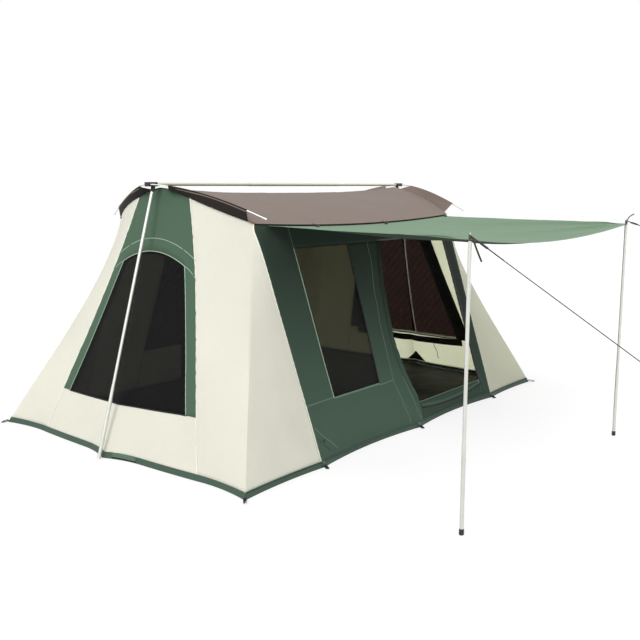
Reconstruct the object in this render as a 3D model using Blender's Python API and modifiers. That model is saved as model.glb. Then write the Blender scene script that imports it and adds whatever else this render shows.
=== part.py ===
# Ridge-pole canvas tent with a front awning, pitched on bent end rods.
# Metres, +Z up. The origin is the centre of the floor on the ground.
# +X runs along the ridge to the far end, and the door and awning face -Y.

import bpy
import bmesh
from math import atan, atan2, cos, hypot, pi, radians, sin, sqrt
from mathutils import Matrix, Vector

TENT_NAME = "canvas_wall_tent"

# Running clearances between pieces that touch
GAP = 0.0003
SEAM_GAP = 0.0009
HEM_GAP = 0.0010
FLOOR_GAP = 0.0028
ROOF_GAP = 0.0015
VISOR_GAP = 0.0084
CUT_OVERRUN = 0.004

# Canvas
CLOTH = 0.0024
SCREEN_CLOTH = 0.0016
FLOOR_CLOTH = 0.003
HEM_BASE = 0.0006

# Plan of the pitched tent, stake to stake
FLOOR_LENGTH = 4.267
FLOOR_WIDTH = 2.88
STAKE_SPACING = 1.30
SIDE_SCALLOP = 0.055
END_SCALLOP = 0.018
SCALLOP_HEIGHT = 0.17
POLE_PULL = 0.075
POLE_PULL_REACH = 0.34
POLE_PULL_HEIGHT = 0.80
HEM_HEIGHT = 0.046

# Walls
EAVE_CORNER_HEIGHT = 1.760
EAVE_SAG = 0.040
EAVE_HALF_WIDTH = 0.812
EAVE_CORNER_X = 1.389
EAVE_CORNER_Y = 0.785
FLARE_LOW_SHARE = 0.12
FLARE_RISE_SHARE = 0.40
CORNER_BLEND_SHARE = 1.5
SIDE_SEAM_X = 1.305
SIDE_SEAM_TOP_X = 1.368

# End walls: green panel seams and window
END_SEAM_FOOT_X = 2.090
END_SEAM_TOP_X = 1.580
END_SEAM_TOP_HEIGHT = 1.950
END_BELLY_SHARE = 0.45
END_CROWN = 0.035
END_SEAM_FOOT_Y = 0.932
END_SEAM_TOP_Y = 0.300
END_WINDOW_FOOT_Y = 0.828
END_WINDOW_SPRING_Y = 0.365
END_WINDOW_SPRING_HEIGHT = 1.440
END_WINDOW_RISE = 0.095
END_SILL_HEIGHT = 0.375

# Roof, hung below the ridge pole with its ends pulled up to the bow rods
RIDGE_HEIGHT = 2.050
ROOF_HANG = 0.075
ROOF_RIDGE_END_RISE = 0.050
ROOF_ARCH_SHARE = 1.31
ROOF_LIP = 0.010
RIDGE_LEAN = 0.060

# Bow rods and the visors sewn to them
ROD_RADIUS = 0.00475
ROD_START_X = 1.742
ROD_TIP_DROP = 0.257
ROD_ARCH_SHARE = 1.65
ROD_STRAIGHT_Y = 0.045
ROD_TIP_Y = 0.905
ROD_SWEEP_SHARES = {-1: 0.41, 1: 0.22}
ROD_CAP_RADIUS = 0.0072
ROD_CAP_LENGTH = 0.022
ROD_POINTS = 20
VISOR_NOTCH_ROOF_Y = 0.095
VISOR_NOTCH_ROD_Y = 0.165
VISOR_END_Y = 0.760

# Ridge pole: three plugged sections
SLEEVE_RADIUS = 0.0143
TUBE_WALL = 0.0012
TUBE_RUNNING_GAP = 0.0004
RIDGE_MIDDLE_LENGTH = 1.270
RIDGE_PLUG_DEPTH = 0.080

# Ridge brackets
BRACKET_X = 1.705
BRACKET_SIZE = (0.090, 0.052, 0.034)
BRACKET_WALL = 0.006
BRACKET_BEVEL = 0.003
ROD_SOCKET_DEPTH = 0.010
COLLAR_INSET = 0.025
COLLAR_WALL = 0.0035
COLLAR_REACH = (0.012, 0.060)
COLLAR_STOP = 0.024

# Upright poles
UPRIGHT_FOOT_X = 2.232
UPRIGHT_LOWER_LENGTH = 0.560
UPRIGHT_OVERLAP = 0.140
FOOT_LIP = 0.0012
FOOT_HEIGHT = 0.022
FOOT_THICKNESS = 0.004

# Spring buttons in the plugged joints
BUTTON_RADIUS = 0.0038
BUTTON_PROUD = 0.0030
BUTTON_DEPTH = 0.0060
BUTTON_FLANGE_RADIUS = 0.0054
BUTTON_FLANGE = 0.0010
BUTTON_CLEARANCE = 0.0004
BUTTON_DOME = 0.0015

# Awning and its poles
AWNING_POLE_XS = {"near": -1.705, "far": 0.820}
AWNING_POLE_Y = -2.805
AWNING_HEIGHT = 1.740
AWNING_INNER_XS = (-1.270, 1.300)
AWNING_INNER_DROP = 0.014
AWNING_INNER_GAP = 0.0012
AWNING_EDGE_SAG = 0.070
AWNING_BELLY = 0.045
AWNING_SCALLOP = 0.035
AWNING_MARGIN = 0.012
AWNING_POLE_UPPER_RADIUS = 0.0111
AWNING_POLE_LOWER_RADIUS = 0.0127
AWNING_POLE_LOWER_LENGTH = 0.560
AWNING_POLE_OVERLAP = 0.120
AWNING_SEAT_GAP = 0.0012
SPIKE_RADIUS = 0.0035
SPIKE_LENGTH = 0.042
SPIKE_COLLAR_RADIUS = 0.0060
SPIKE_SHOULDER = 0.006
SPIKE_HOLE_CLEARANCE = 0.0012

# Front wall: window and door, each edge given at its foot and its head
WINDOW_LEFT_XS = (-1.003, -1.038)
WINDOW_RIGHT_XS = (-0.403, -0.356)
WINDOW_HEIGHTS = (0.438, 1.560)
DOOR_RIGHT_XS = (1.163, 1.180)
DOOR_LEFT_XS = (0.090, -0.078, 0.085)
DOOR_BELLY_HEIGHT = 0.700
DOOR_SILL_HEIGHT = 0.190
DOOR_HEAD_HEIGHT = 1.560
DOOR_ROLL_RADIUS = 0.038
DOOR_ROLL_INSET = 0.035
DOOR_ROLL_SQUASH = 0.86
DOOR_ROLL_HEIGHT = 1.645

# Back wall
BACK_WINDOW_HALF_WIDTH = 0.760
BACK_WINDOW_HEIGHTS = (0.438, 1.500)

# Hem tabs for the stakes
TAB_SIZE = (0.042, 0.026, 0.004)

# Guy ropes
GUY_RADIUS = 0.003
GUY_TOP_RISE = 0.024
GUY_LOOP_GAP = 0.0008
GUY_HEADINGS = {"near": -47, "far": -45}
GUY_SLOPES = {"near": 35.6, "far": 18}
GUY_LENGTHS = {"near": 1.330, "far": 0.215}
GUY_TAILS = {"near": 0.240, "far": 0.140}
GUY_STEPS = {"near": 18, "far": 8}
GUY_TAIL_STEPS = {"near": 6, "far": 5}
GUY_HOOK_TAIL = 0.030
LOOP_STEPS = 6
SLIDER_PLACES = {"near": 0.100, "far": 0.070}
SLIDER_SIZE = (0.050, 0.030, 0.011)
SLIDER_CLEARANCE = 0.0006
SLIDER_BEVEL = 0.002
HOOK_RADIUS = 0.0020
HOOK_BEND = 0.011
HOOK_SHANK = 0.030
HOOK_OPENING = 150
HOOK_STEP = 20

# Door zip slider, straddling the top edge of the door sill
ZIP_SIZE = (0.018, 0.010, 0.010)
ZIP_CROWN = 0.003
ZIP_CLEARANCE = 0.0009
ZIP_EDGE_INSET = 0.030
ZIP_PULL_SIZE = (0.005, 0.0014, 0.024)
ZIP_PULL_TUCK = 0.0006

# Facets
TUBE_SIDES = 20
SMALL_SIDES = 12
COLUMN_PITCH = 0.17
CORNER_ROW_PITCH = 0.20
SIDE_ROW_PITCH = 0.35
SILL_ROW_PITCH = 0.10
SCALLOP_LEVELS = (0.085, 0.120, SCALLOP_HEIGHT)
HALF_SHARES = (0.0, 0.05, 0.10, 0.17, 0.26, 0.38, 0.50, 0.62, 0.74, 0.84, 0.92, 1.0)

FRONT = -1
SIDES = {"front": FRONT, "back": 1}
ENDS = {"near": -1, "far": 1}
HALF_LENGTH = FLOOR_LENGTH / 2
HALF_WIDTH = FLOOR_WIDTH / 2
STAKE_XS = (-HALF_LENGTH, -STAKE_SPACING, 0.0, STAKE_SPACING, HALF_LENGTH)
SIDE_SLOPE = (HALF_WIDTH - EAVE_HALF_WIDTH) / EAVE_CORNER_HEIGHT
SIDE_ANGLE = atan(SIDE_SLOPE)
EDGE = SEAM_GAP / 2
WALL_FOOT = HEM_HEIGHT + HEM_GAP / 2
HEM_TOP = HEM_HEIGHT - HEM_GAP / 2
HEM_SHARES = (0.0, 0.05, 0.10, 0.17, 0.26, 0.45, 0.65, 0.82, 1.0)


def lerp(a, b, share):
    return a + (b - a) * share


def clamp01(value):
    return max(0.0, min(1.0, value))


def even(count):
    return [step / count for step in range(count + 1)]


def mirrored(shares):
    return [-share for share in shares[:0:-1]] + list(shares)


def lean(z):
    """The top of the tent stands a little towards the far end."""
    return RIDGE_LEAN * z / RIDGE_HEIGHT


# Wall surfaces, as distances from the two centre planes


def crease(z):
    """Plan position of the corner fold at height z."""
    share = clamp01(z / EAVE_CORNER_HEIGHT)
    share += share * (1 - share) * (FLARE_LOW_SHARE + FLARE_RISE_SHARE * share)
    return lerp(HALF_LENGTH, EAVE_CORNER_X, share), lerp(HALF_WIDTH, EAVE_CORNER_Y, share)


def fade(z, height):
    """A pull at the hem that dies out by the given height."""
    return clamp01(1 - z / height) ** 2


def side_scallop(x, reach):
    """How far the side hem draws in between its stakes."""
    stakes = (-reach,) + STAKE_XS[1:-1] + (reach,)
    for start, end in zip(stakes, stakes[1:]):
        if start <= x <= end:
            share = (x - start) / (end - start)
            bay = (end - start) / STAKE_SPACING
            return SIDE_SCALLOP * bay * bay * 4 * share * (1 - share)
    return 0.0


def seam_x(z):
    """Distance of a side wall's corner seam from the middle, running out to the eave."""
    return lerp(SIDE_SEAM_X, SIDE_SEAM_TOP_X, z / EAVE_CORNER_HEIGHT)


def side_y(x, z):
    """Distance of a side wall from the ridge plane."""
    flat = HALF_WIDTH - SIDE_SLOPE * z
    crease_x, crease_y = crease(z)
    if abs(x) > seam_x(z):
        share = clamp01((abs(x) - seam_x(z)) / (crease_x - seam_x(z)))
        flat = lerp(flat, crease_y, share ** CORNER_BLEND_SHARE)
    return flat - side_scallop(x, crease_x) * fade(z, SCALLOP_HEIGHT)


def end_seam_y(z):
    """Half the width of the green end panel at height z."""
    return lerp(END_SEAM_FOOT_Y, END_SEAM_TOP_Y, z / END_SEAM_TOP_HEIGHT)


def end_middle_x(z):
    share = z / END_SEAM_TOP_HEIGHT
    belly = END_BELLY_SHARE * share * share * (1 - share)
    return lerp(END_SEAM_FOOT_X, END_SEAM_TOP_X, share + belly)


def end_x(y, z):
    """Distance of an end wall from the middle of the tent, before the lean."""
    crease_x, crease_y = crease(z)
    seam_y = end_seam_y(z)
    x = end_middle_x(z)
    if abs(y) > seam_y:
        share = clamp01((abs(y) - seam_y) / (crease_y - seam_y))
        x = lerp(x, crease_x, share ** CORNER_BLEND_SHARE)
        x -= END_SCALLOP * fade(z, SCALLOP_HEIGHT) * 4 * share * (1 - share)
    else:
        x += END_CROWN * (1 - (y / seam_y) ** 2)
    pull = clamp01(1 - abs(y) / POLE_PULL_REACH) ** 2
    return x + POLE_PULL * pull * fade(z, POLE_PULL_HEIGHT)


def side_point(side, x, z):
    return Vector((x + lean(z), side * side_y(x, z), z))


def end_point(end, y, z):
    return Vector((end * end_x(y, z) + lean(z), y, z))


# Roof surface, from shares along the ridge and out from it


def ridge_line(s):
    return RIDGE_HEIGHT - ROOF_HANG + ROOF_RIDGE_END_RISE * abs(s) ** 3


def eave_line(s):
    return EAVE_CORNER_HEIGHT - EAVE_SAG * (1 - s * s)


def eave_y(s):
    return side_y(s * EAVE_CORNER_X, eave_line(s)) + ROOF_LIP


def roof_height(s, r):
    top = ridge_line(s)
    return top - (top - eave_line(s)) * abs(r) ** ROOF_ARCH_SHARE


def roof_point(s, r):
    z = roof_height(s, r)
    end_z = roof_height(1.0, r)
    reach = end_x(abs(r) * eave_y(1.0), end_z) + ROOF_LIP
    return Vector((s * reach + lean(z), r * eave_y(s), z))


ROOF_EDGE_SLOPE = (ridge_line(0.0) - eave_line(0.0)) * ROOF_ARCH_SHARE / EAVE_HALF_WIDTH
WALL_SEAT = CLOTH / 2 / cos(atan(ROOF_EDGE_SLOPE))
WALL_SEAT += CLOTH / 2 * (ROOF_EDGE_SLOPE + SIDE_SLOPE) + ROOF_GAP


def side_top(x):
    """Height of a side wall's top edge, just under the roof."""
    s = max(-1.0, min(1.0, x / EAVE_CORNER_X))
    return eave_line(s) + ROOF_EDGE_SLOPE * ROOF_LIP - WALL_SEAT


def end_top(y):
    """Height of an end wall's top edge, just under the roof."""
    return roof_height(1.0, min(1.0, abs(y) / eave_y(1.0))) - WALL_SEAT


def end_panel_top(share):
    """Top of the corner panel at a share from its end seam to the fold."""
    z = EAVE_CORNER_HEIGHT
    for _ in range(12):
        z = end_top(lerp(end_seam_y(z), crease(z)[1], share))
    return z


# Scene set-up

for old in list(bpy.data.objects):
    bpy.data.objects.remove(old)

parts = bpy.data.collections.new(TENT_NAME)
cutters = bpy.data.collections.new("cutters")
bpy.context.scene.collection.children.link(parts)
bpy.context.scene.collection.children.link(cutters)
cutters.hide_render = True


def make_material(name, colour, roughness, metallic=0.0):
    material = bpy.data.materials.new(name)
    material.use_nodes = True
    shader = material.node_tree.nodes["Principled BSDF"]
    shader.inputs["Base Color"].default_value = (*colour, 1.0)
    shader.inputs["Roughness"].default_value = roughness
    shader.inputs["Metallic"].default_value = metallic
    material.diffuse_color = (*colour, 1.0)
    return material


CREAM = make_material("cream_canvas", (0.86, 0.84, 0.73), 0.9)
GREEN = make_material("green_canvas", (0.085, 0.145, 0.098), 0.9)
TAUPE = make_material("taupe_canvas", (0.29, 0.24, 0.21), 0.9)
AWNING_GREEN = make_material("awning_canvas", (0.20, 0.31, 0.21), 0.9)
SCREEN = make_material("black_mesh", (0.012, 0.012, 0.013), 0.8)
FLOOR_VINYL = make_material("floor_vinyl", (0.02, 0.017, 0.015), 0.6)
HEM_VINYL = make_material("hem_vinyl", (0.05, 0.095, 0.06), 0.7)
STEEL = make_material("galvanised_steel", (0.62, 0.62, 0.58), 0.35, 1.0)
BLACK_STEEL = make_material("black_steel", (0.01, 0.01, 0.01), 0.4)
ROPE = make_material("guy_rope", (0.03, 0.025, 0.02), 0.9)
SLIDER_PLASTIC = make_material("slider_plastic", (0.015, 0.015, 0.015), 0.45)
ZIP_METAL = make_material("zip_metal", (0.2, 0.2, 0.2), 0.4, 1.0)


# Ways of making a piece


def finish_mesh(mesh):
    mesh.shade_smooth()
    mesh.set_sharp_from_angle(angle=radians(40))


def add_piece(name, data, material, collection=parts):
    obj = bpy.data.objects.new(name, data)
    collection.objects.link(obj)
    if material:
        data.materials.append(material)
    if collection == cutters:
        obj.hide_render = True
        obj.display_type = "WIRE"
    return obj


def cloth(name, place, us, vs, material, outward, thickness=CLOTH):
    """A panel of cloth: a grid bent to its surface, thickened about it."""
    verts = [place(u, v) for v in vs for u in us]
    wide = len(us)
    faces = [
        (row * wide + k, row * wide + k + 1, (row + 1) * wide + k + 1, (row + 1) * wide + k)
        for row in range(len(vs) - 1) for k in range(wide - 1)
    ]
    mesh = bpy.data.meshes.new(name)
    mesh.from_pydata(verts, [], faces)
    if sum(face.normal.dot(Vector(outward)) * face.area for face in mesh.polygons) < 0:
        mesh.flip_normals()
    finish_mesh(mesh)
    obj = add_piece(name, mesh, material)
    solidify = obj.modifiers.new("thickness", "SOLIDIFY")
    solidify.thickness = thickness
    solidify.offset = 0.0
    solidify.use_even_offset = True
    return obj


def turned(name, profile, sides, material, collection=parts):
    """A profile of (radius, height) points turned round +Z.

    A profile that starts on the axis is left open there. Any other is a ring.
    """
    bm = bmesh.new()
    rings = []
    for radius, height in profile:
        if radius == 0:
            rings.append([bm.verts.new((0.0, 0.0, height))] * sides)
        else:
            turns = [2 * pi * step / sides for step in range(sides)]
            rings.append([bm.verts.new((radius * cos(t), radius * sin(t), height)) for t in turns])
    pairs = list(zip(rings, rings[1:]))
    if profile[0][0] > 0:
        pairs.append((rings[-1], rings[0]))
    for low, high in pairs:
        for k in range(sides):
            j = (k + 1) % sides
            corners = list(dict.fromkeys((low[k], low[j], high[j], high[k])))
            if len(corners) > 2:
                bm.faces.new(corners)
    bmesh.ops.recalc_face_normals(bm, faces=bm.faces)
    mesh = bpy.data.meshes.new(name)
    bm.to_mesh(mesh)
    bm.free()
    finish_mesh(mesh)
    return add_piece(name, mesh, material, collection)


def box(name, size, material, collection=parts, bevel=0.0):
    bm = bmesh.new()
    bmesh.ops.create_cube(bm, size=1.0)
    bmesh.ops.scale(bm, vec=Vector(size), verts=bm.verts)
    mesh = bpy.data.meshes.new(name)
    bm.to_mesh(mesh)
    bm.free()
    obj = add_piece(name, mesh, material, collection)
    if bevel:
        rounding = obj.modifiers.new("rounding", "BEVEL")
        rounding.width = bevel
        rounding.segments = 2
    return obj


def wire(name, points, radius, resolution, material, factors=None):
    """A rod, rope or wire along its centre points, closed at both ends."""
    curve = bpy.data.curves.new(name, "CURVE")
    curve.dimensions = "3D"
    curve.bevel_depth = radius
    curve.bevel_resolution = resolution
    curve.use_fill_caps = True
    spline = curve.splines.new("POLY")
    spline.points.add(len(points) - 1)
    for index, place in enumerate(points):
        spline.points[index].co = (*place, 1.0)
        if factors:
            spline.points[index].radius = factors[index]
    return add_piece(name, curve, material)


def aim(obj, foot, direction, upward=(0, 0, 1)):
    """Stand a piece at foot with its +Z along direction."""
    z_axis = Vector(direction).normalized()
    x_axis = Vector(upward).cross(z_axis)
    if x_axis.length < CLOTH:
        x_axis = Vector((1, 0, 0))
    x_axis.normalize()
    turn = Matrix((x_axis, z_axis.cross(x_axis), z_axis)).transposed().to_4x4()
    obj.matrix_world = Matrix.Translation(Vector(foot)) @ turn


def combine(obj, other, operation):
    boolean = obj.modifiers.new(operation.lower(), "BOOLEAN")
    boolean.operation = operation
    boolean.solver = "EXACT"
    boolean.object = other


def tube(name, radius, length, material):
    bore = radius - TUBE_WALL
    profile = [(radius, length), (radius, 0.0), (bore, 0.0), (bore, length)]
    return turned(name, profile, TUBE_SIDES, material)


def drill(obj, radius, foot, direction, length, sides=SMALL_SIDES):
    profile = [(0.0, 0.0), (radius, 0.0), (radius, length), (0.0, length)]
    cutter = turned(obj.name + "_drill", profile, sides, None, cutters)
    aim(cutter, foot, direction)
    combine(obj, cutter, "DIFFERENCE")


# Corner panels, folded round each corner from the end seam to the side seam


def row_shares(bottom, top, spacing):
    """Shares of a panel's height where its rows lie, closer near the hem."""
    levels = [bottom] + [z for z in SCALLOP_LEVELS if bottom < z < top]
    count = max(1, round((top - levels[-1]) / spacing))
    start = levels.pop()
    levels += [lerp(start, top, share) for share in even(count)]
    return [(z - bottom) / (top - bottom) for z in levels]


def corner_panel(end_name, side_name):
    end = ENDS[end_name]
    side = SIDES[side_name]

    def place(u, v):
        if u <= 0.5:
            share = u / 0.5
            z = lerp(WALL_FOOT, end_panel_top(share), v)
            y = lerp(end_seam_y(z) + EDGE, crease(z)[1], share)
            return end_point(end, side * y, z)
        share = (u - 0.5) / 0.5
        top = lerp(end_panel_top(1.0), side_top(SIDE_SEAM_TOP_X), share)
        z = lerp(WALL_FOOT, top, v)
        x = lerp(crease(z)[0], seam_x(z) + EDGE, share)
        return Vector((end * x + lean(z), side * side_y(x, z), z))

    rows = row_shares(WALL_FOOT, EAVE_CORNER_HEIGHT, CORNER_ROW_PITCH)
    cloth(end_name + "_" + side_name + "_corner", place, even(10), rows, CREAM, (end, side, 0))


# End walls: green arch, cream sill and mesh window


def end_window_y(z):
    return lerp(END_WINDOW_FOOT_Y, END_WINDOW_SPRING_Y, z / END_WINDOW_SPRING_HEIGHT)


def end_arch_height(share):
    """Top of the window at a share of its half width."""
    return END_WINDOW_SPRING_HEIGHT + END_WINDOW_RISE * (1 - share * share)


def end_wall(end_name):
    end = ENDS[end_name]
    seam_top = end_panel_top(0.0)
    seam_top_y = end_seam_y(seam_top)

    def frame_place(u, v):
        if abs(u) > 1:
            side = 1 if u > 0 else -1
            share = 2 - abs(u)
            inner_z = lerp(END_SILL_HEIGHT + EDGE, END_WINDOW_SPRING_HEIGHT, share)
            outer_z = lerp(END_SILL_HEIGHT + EDGE, seam_top, share)
            inner_y = side * (end_window_y(inner_z) + EDGE)
            outer_y = side * (end_seam_y(outer_z) - EDGE)
        else:
            inner_y = u * (END_WINDOW_SPRING_Y + EDGE)
            inner_z = end_arch_height(u) + EDGE
            outer_y = u * (seam_top_y - EDGE)
            outer_z = end_top(outer_y)
        return end_point(end, lerp(inner_y, outer_y, v), lerp(inner_z, outer_z, v))

    def sill_place(u, v):
        z = lerp(WALL_FOOT, END_SILL_HEIGHT - EDGE, v)
        return end_point(end, u * (end_seam_y(z) - EDGE), z)

    def screen_place(u, v):
        z = lerp(END_SILL_HEIGHT + EDGE, end_arch_height(u) - EDGE, v)
        flat_z = lerp(END_SILL_HEIGHT + EDGE, END_WINDOW_SPRING_HEIGHT, v)
        return end_point(end, u * (end_window_y(flat_z) - EDGE), z)

    hem_us = mirrored(HEM_SHARES)
    leg = [-2 + share for share in even(8)]
    arch = [lerp(-1.0, 1.0, share) for share in even(10)]
    frame_us = leg + arch[1:-1] + [-u for u in reversed(leg)]
    sill_rows = row_shares(WALL_FOOT, END_SILL_HEIGHT, SILL_ROW_PITCH)
    cloth(end_name + "_end_frame", frame_place, frame_us, even(3), GREEN, (end, 0, 0))
    cloth(end_name + "_end_sill", sill_place, hem_us, sill_rows, CREAM, (end, 0, 0))
    cloth(end_name + "_end_screen", screen_place, arch, even(5), SCREEN, (end, 0, 0), SCREEN_CLOTH)


for end_name in ENDS:
    end_wall(end_name)
    for side_name in SIDES:
        corner_panel(end_name, side_name)


# Side walls: panels bounded by a left and a right edge and two heights


def column_shares(left, right):
    """Shares of a panel's width where its columns stand, one at each stake."""
    stops = [left] + [x for x in STAKE_XS if left < x < right] + [right]
    columns = []
    for start, stop in zip(stops, stops[1:]):
        count = max(1, round((stop - start) / COLUMN_PITCH))
        columns += [lerp(start, stop, share) for share in even(count)[:-1]]
    return [(x - left) / (right - left) for x in columns + [right]]


def side_panel(name, side, edges, heights, material, thickness=CLOTH):
    """edges give x at a height; heights are a z or a height at a share."""
    left, right = edges
    bottom, top = heights
    foot = WALL_FOOT if bottom == HEM_HEIGHT else bottom + EDGE
    head = top(0.5) if callable(top) else top - EDGE

    def place(u, v):
        z = lerp(foot, top(u) if callable(top) else head, v)
        x = lerp(left(z) + EDGE, right(z) - EDGE, u)
        return side_point(side, x, z)

    us = column_shares(left(foot), right(foot))
    vs = row_shares(foot, head, SIDE_ROW_PITCH)
    return cloth(name, place, us, vs, material, (0, side, 0), thickness)


def upright_edge(x):
    return lambda z: x


def slanted_edge(xs, heights):
    return lambda z: lerp(*xs, (z - heights[0]) / (heights[1] - heights[0]))


def under_roof(left, right):
    """Top edge under the roof between two places along the eave."""
    return lambda share: side_top(lerp(left, right, share))


def door_left(z):
    """Curved zip edge of the door, drawn in towards the window at knee height."""
    low, belly, high = DOOR_LEFT_XS
    if z < DOOR_BELLY_HEIGHT:
        share = (DOOR_BELLY_HEIGHT - z) / (DOOR_BELLY_HEIGHT - DOOR_SILL_HEIGHT)
        return lerp(belly, low, clamp01(share) ** 2)
    share = (z - DOOR_BELLY_HEIGHT) / (DOOR_HEAD_HEIGHT - DOOR_BELLY_HEIGHT)
    return lerp(belly, high, clamp01(share) ** 2)


def near_seam(z):
    return -seam_x(z)


DOOR_HEIGHTS = (DOOR_SILL_HEIGHT, DOOR_HEAD_HEIGHT)
far_seam = seam_x
window_left = slanted_edge(WINDOW_LEFT_XS, WINDOW_HEIGHTS)
window_right = slanted_edge(WINDOW_RIGHT_XS, WINDOW_HEIGHTS)
door_right = slanted_edge(DOOR_RIGHT_XS, DOOR_HEIGHTS)
window_foot, window_head = WINDOW_HEIGHTS
header_left = window_left(window_head)
header_right = door_right(DOOR_HEAD_HEIGHT)

FRONT_PANELS = {
    "front_left_panel": (near_seam, window_left, HEM_HEIGHT, under_roof(-SIDE_SEAM_TOP_X, header_left)),
    "front_window_sill": (window_left, window_right, HEM_HEIGHT, window_foot),
    "front_header": (window_left, door_right, window_head, under_roof(header_left, header_right)),
    "front_mid_panel": (window_right, door_left, HEM_HEIGHT, DOOR_HEAD_HEIGHT),
    "front_door_sill": (door_left, door_right, HEM_HEIGHT, DOOR_SILL_HEIGHT),
    "front_right_panel": (door_right, far_seam, HEM_HEIGHT, under_roof(header_right, SIDE_SEAM_TOP_X)),
}
for name, (left, right, bottom, top) in FRONT_PANELS.items():
    side_panel(name, FRONT, (left, right), (bottom, top), GREEN)
side_panel(
    "front_window_screen", FRONT, (window_left, window_right), WINDOW_HEIGHTS, SCREEN, SCREEN_CLOTH
)


# Door canvas, rolled up under the header

roll_left = door_left(DOOR_HEAD_HEIGHT) + DOOR_ROLL_INSET
roll_right = header_right - DOOR_ROLL_INSET
roll_length = roll_right - roll_left
roll_seat = DOOR_ROLL_RADIUS * hypot(cos(SIDE_ANGLE), DOOR_ROLL_SQUASH * sin(SIDE_ANGLE)) + GAP
roll_y = side_y(0.0, DOOR_ROLL_HEIGHT) + (roll_seat + CLOTH / 2) / cos(SIDE_ANGLE)
roll_profile = [(0.0, 0.0), (DOOR_ROLL_RADIUS, 0.0), (DOOR_ROLL_RADIUS, roll_length), (0.0, roll_length)]
door_roll = turned("front_door_roll", roll_profile, TUBE_SIDES, GREEN)
aim(door_roll, (roll_left + lean(DOOR_ROLL_HEIGHT), FRONT * roll_y, DOOR_ROLL_HEIGHT), (1, 0, 0))
door_roll.scale = (1.0, DOOR_ROLL_SQUASH, 1.0)


# Back wall: a cut-out panel, its sill and its mesh window

back_foot, back_head = BACK_WINDOW_HEIGHTS
back_left = upright_edge(-BACK_WINDOW_HALF_WIDTH)
back_right = upright_edge(BACK_WINDOW_HALF_WIDTH)


def back_frame_place(u, v):
    if abs(u) > 1:
        side = 1 if u > 0 else -1
        share = 2 - abs(u)
        inner_x = side * (BACK_WINDOW_HALF_WIDTH + EDGE)
        inner_z = lerp(WALL_FOOT, back_head, share)
        outer_z = lerp(WALL_FOOT, side_top(SIDE_SEAM_TOP_X), share)
        outer_x = side * (seam_x(outer_z) - EDGE)
    else:
        inner_x = u * (BACK_WINDOW_HALF_WIDTH + EDGE)
        outer_x = u * (SIDE_SEAM_TOP_X - EDGE)
        inner_z = back_head + EDGE
        outer_z = side_top(outer_x)
    return side_point(1, lerp(inner_x, outer_x, v), lerp(inner_z, outer_z, v))


leg_us = [-2 + share for share in row_shares(WALL_FOOT, back_head, SIDE_ROW_PITCH)]
arch_us = [lerp(-1.0, 1.0, share) for share in even(14)][1:-1]
back_us = leg_us + arch_us + [-u for u in reversed(leg_us)]
cloth("back_frame", back_frame_place, back_us, even(3), CREAM, (0, 1, 0))
side_panel("back_sill", 1, (back_left, back_right), (HEM_HEIGHT, back_foot), CREAM)
side_panel("back_screen", 1, (back_left, back_right), BACK_WINDOW_HEIGHTS, SCREEN, SCREEN_CLOTH)


# Hems with their stake tabs, and the floor inside them


def add_tab(hem, index, spot, outward):
    """A webbing stake tab, flat on the ground and sewn to the hem."""
    length, width, thickness = TAB_SIZE
    tab = box(hem.name + "_tab_" + str(index), TAB_SIZE, None, cutters)
    out = Vector(outward).normalized()
    centre = Vector(spot) + out * length / 2
    tab.location = (centre.x, centre.y, thickness / 2)
    tab.rotation_euler = (0, 0, atan2(out.y, out.x))
    combine(hem, tab, "UNION")


def side_hem(side_name):
    """The side hem runs right out to the corner folds."""
    side = SIDES[side_name]

    def place(u, v):
        z = lerp(HEM_BASE, HEM_TOP, v)
        x = lerp(-HALF_LENGTH, HALF_LENGTH, u)
        x *= (crease(z)[0] + CLOTH / 2) / HALF_LENGTH
        return Vector((x + lean(z), side * side_y(x, z), z))

    us = column_shares(-HALF_LENGTH, HALF_LENGTH)
    hem = cloth(side_name + "_hem", place, us, (0.0, 1.0), HEM_VINYL, (0, side, 0))
    hem.modifiers.new("flat_faces", "TRIANGULATE")
    for index, x in enumerate(STAKE_XS):
        corner = int(x / HALF_LENGTH)
        add_tab(hem, index, (x, side * side_y(x, 0.0), 0.0), (corner, side, 0))


def end_hem(end_name):
    end = ENDS[end_name]

    def place(u, v):
        z = lerp(HEM_BASE, HEM_TOP, v)
        return end_point(end, u * (crease(z)[1] - CLOTH / 2 - HEM_GAP), z)

    return cloth(end_name + "_hem", place, mirrored(HEM_SHARES), (0.0, 1.0), HEM_VINYL, (end, 0, 0))


for side_name in SIDES:
    side_hem(side_name)
for end_name in ENDS:
    end_hem(end_name)


def floor_outline():
    """The hem's line on the ground, drawn in by the cloth and a gap."""
    inset = CLOTH / 2 + FLOOR_GAP
    half_x = HALF_LENGTH - inset
    half_y = HALF_WIDTH - inset
    xs = [lerp(-half_x, half_x, share) for share in column_shares(-HALF_LENGTH, HALF_LENGTH)]
    ys = [share * half_y for share in mirrored(HEM_SHARES)]
    front = [(x, -(side_y(x, 0.0) - inset)) for x in xs[:-1]]
    far = [(end_x(y, 0.0) - inset, y) for y in ys[:-1]]
    front[0] = (-half_x, -half_y)
    far[0] = (half_x, -half_y)
    half = front + far
    return half + [(-x, -y) for x, y in half]


floor_mesh = bpy.data.meshes.new("floor")
outline = floor_outline()
floor_mesh.from_pydata([(x, y, FLOOR_CLOTH / 2) for x, y in outline], [], [range(len(outline))])
floor_piece = add_piece("floor", floor_mesh, FLOOR_VINYL)
floor_depth = floor_piece.modifiers.new("thickness", "SOLIDIFY")
floor_depth.thickness = FLOOR_CLOTH
floor_depth.offset = 0.0


# Roof and visors

flat_share = SIDE_SEAM_X / EAVE_CORNER_X
seam_share = SIDE_SEAM_TOP_X / EAVE_CORNER_X
roof_half = [flat_share * share for share in even(6)] + [seam_share, 1.0]
cloth("roof", roof_point, mirrored(roof_half), mirrored(HALF_SHARES), TAUPE, (0, 0, 1))


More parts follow.
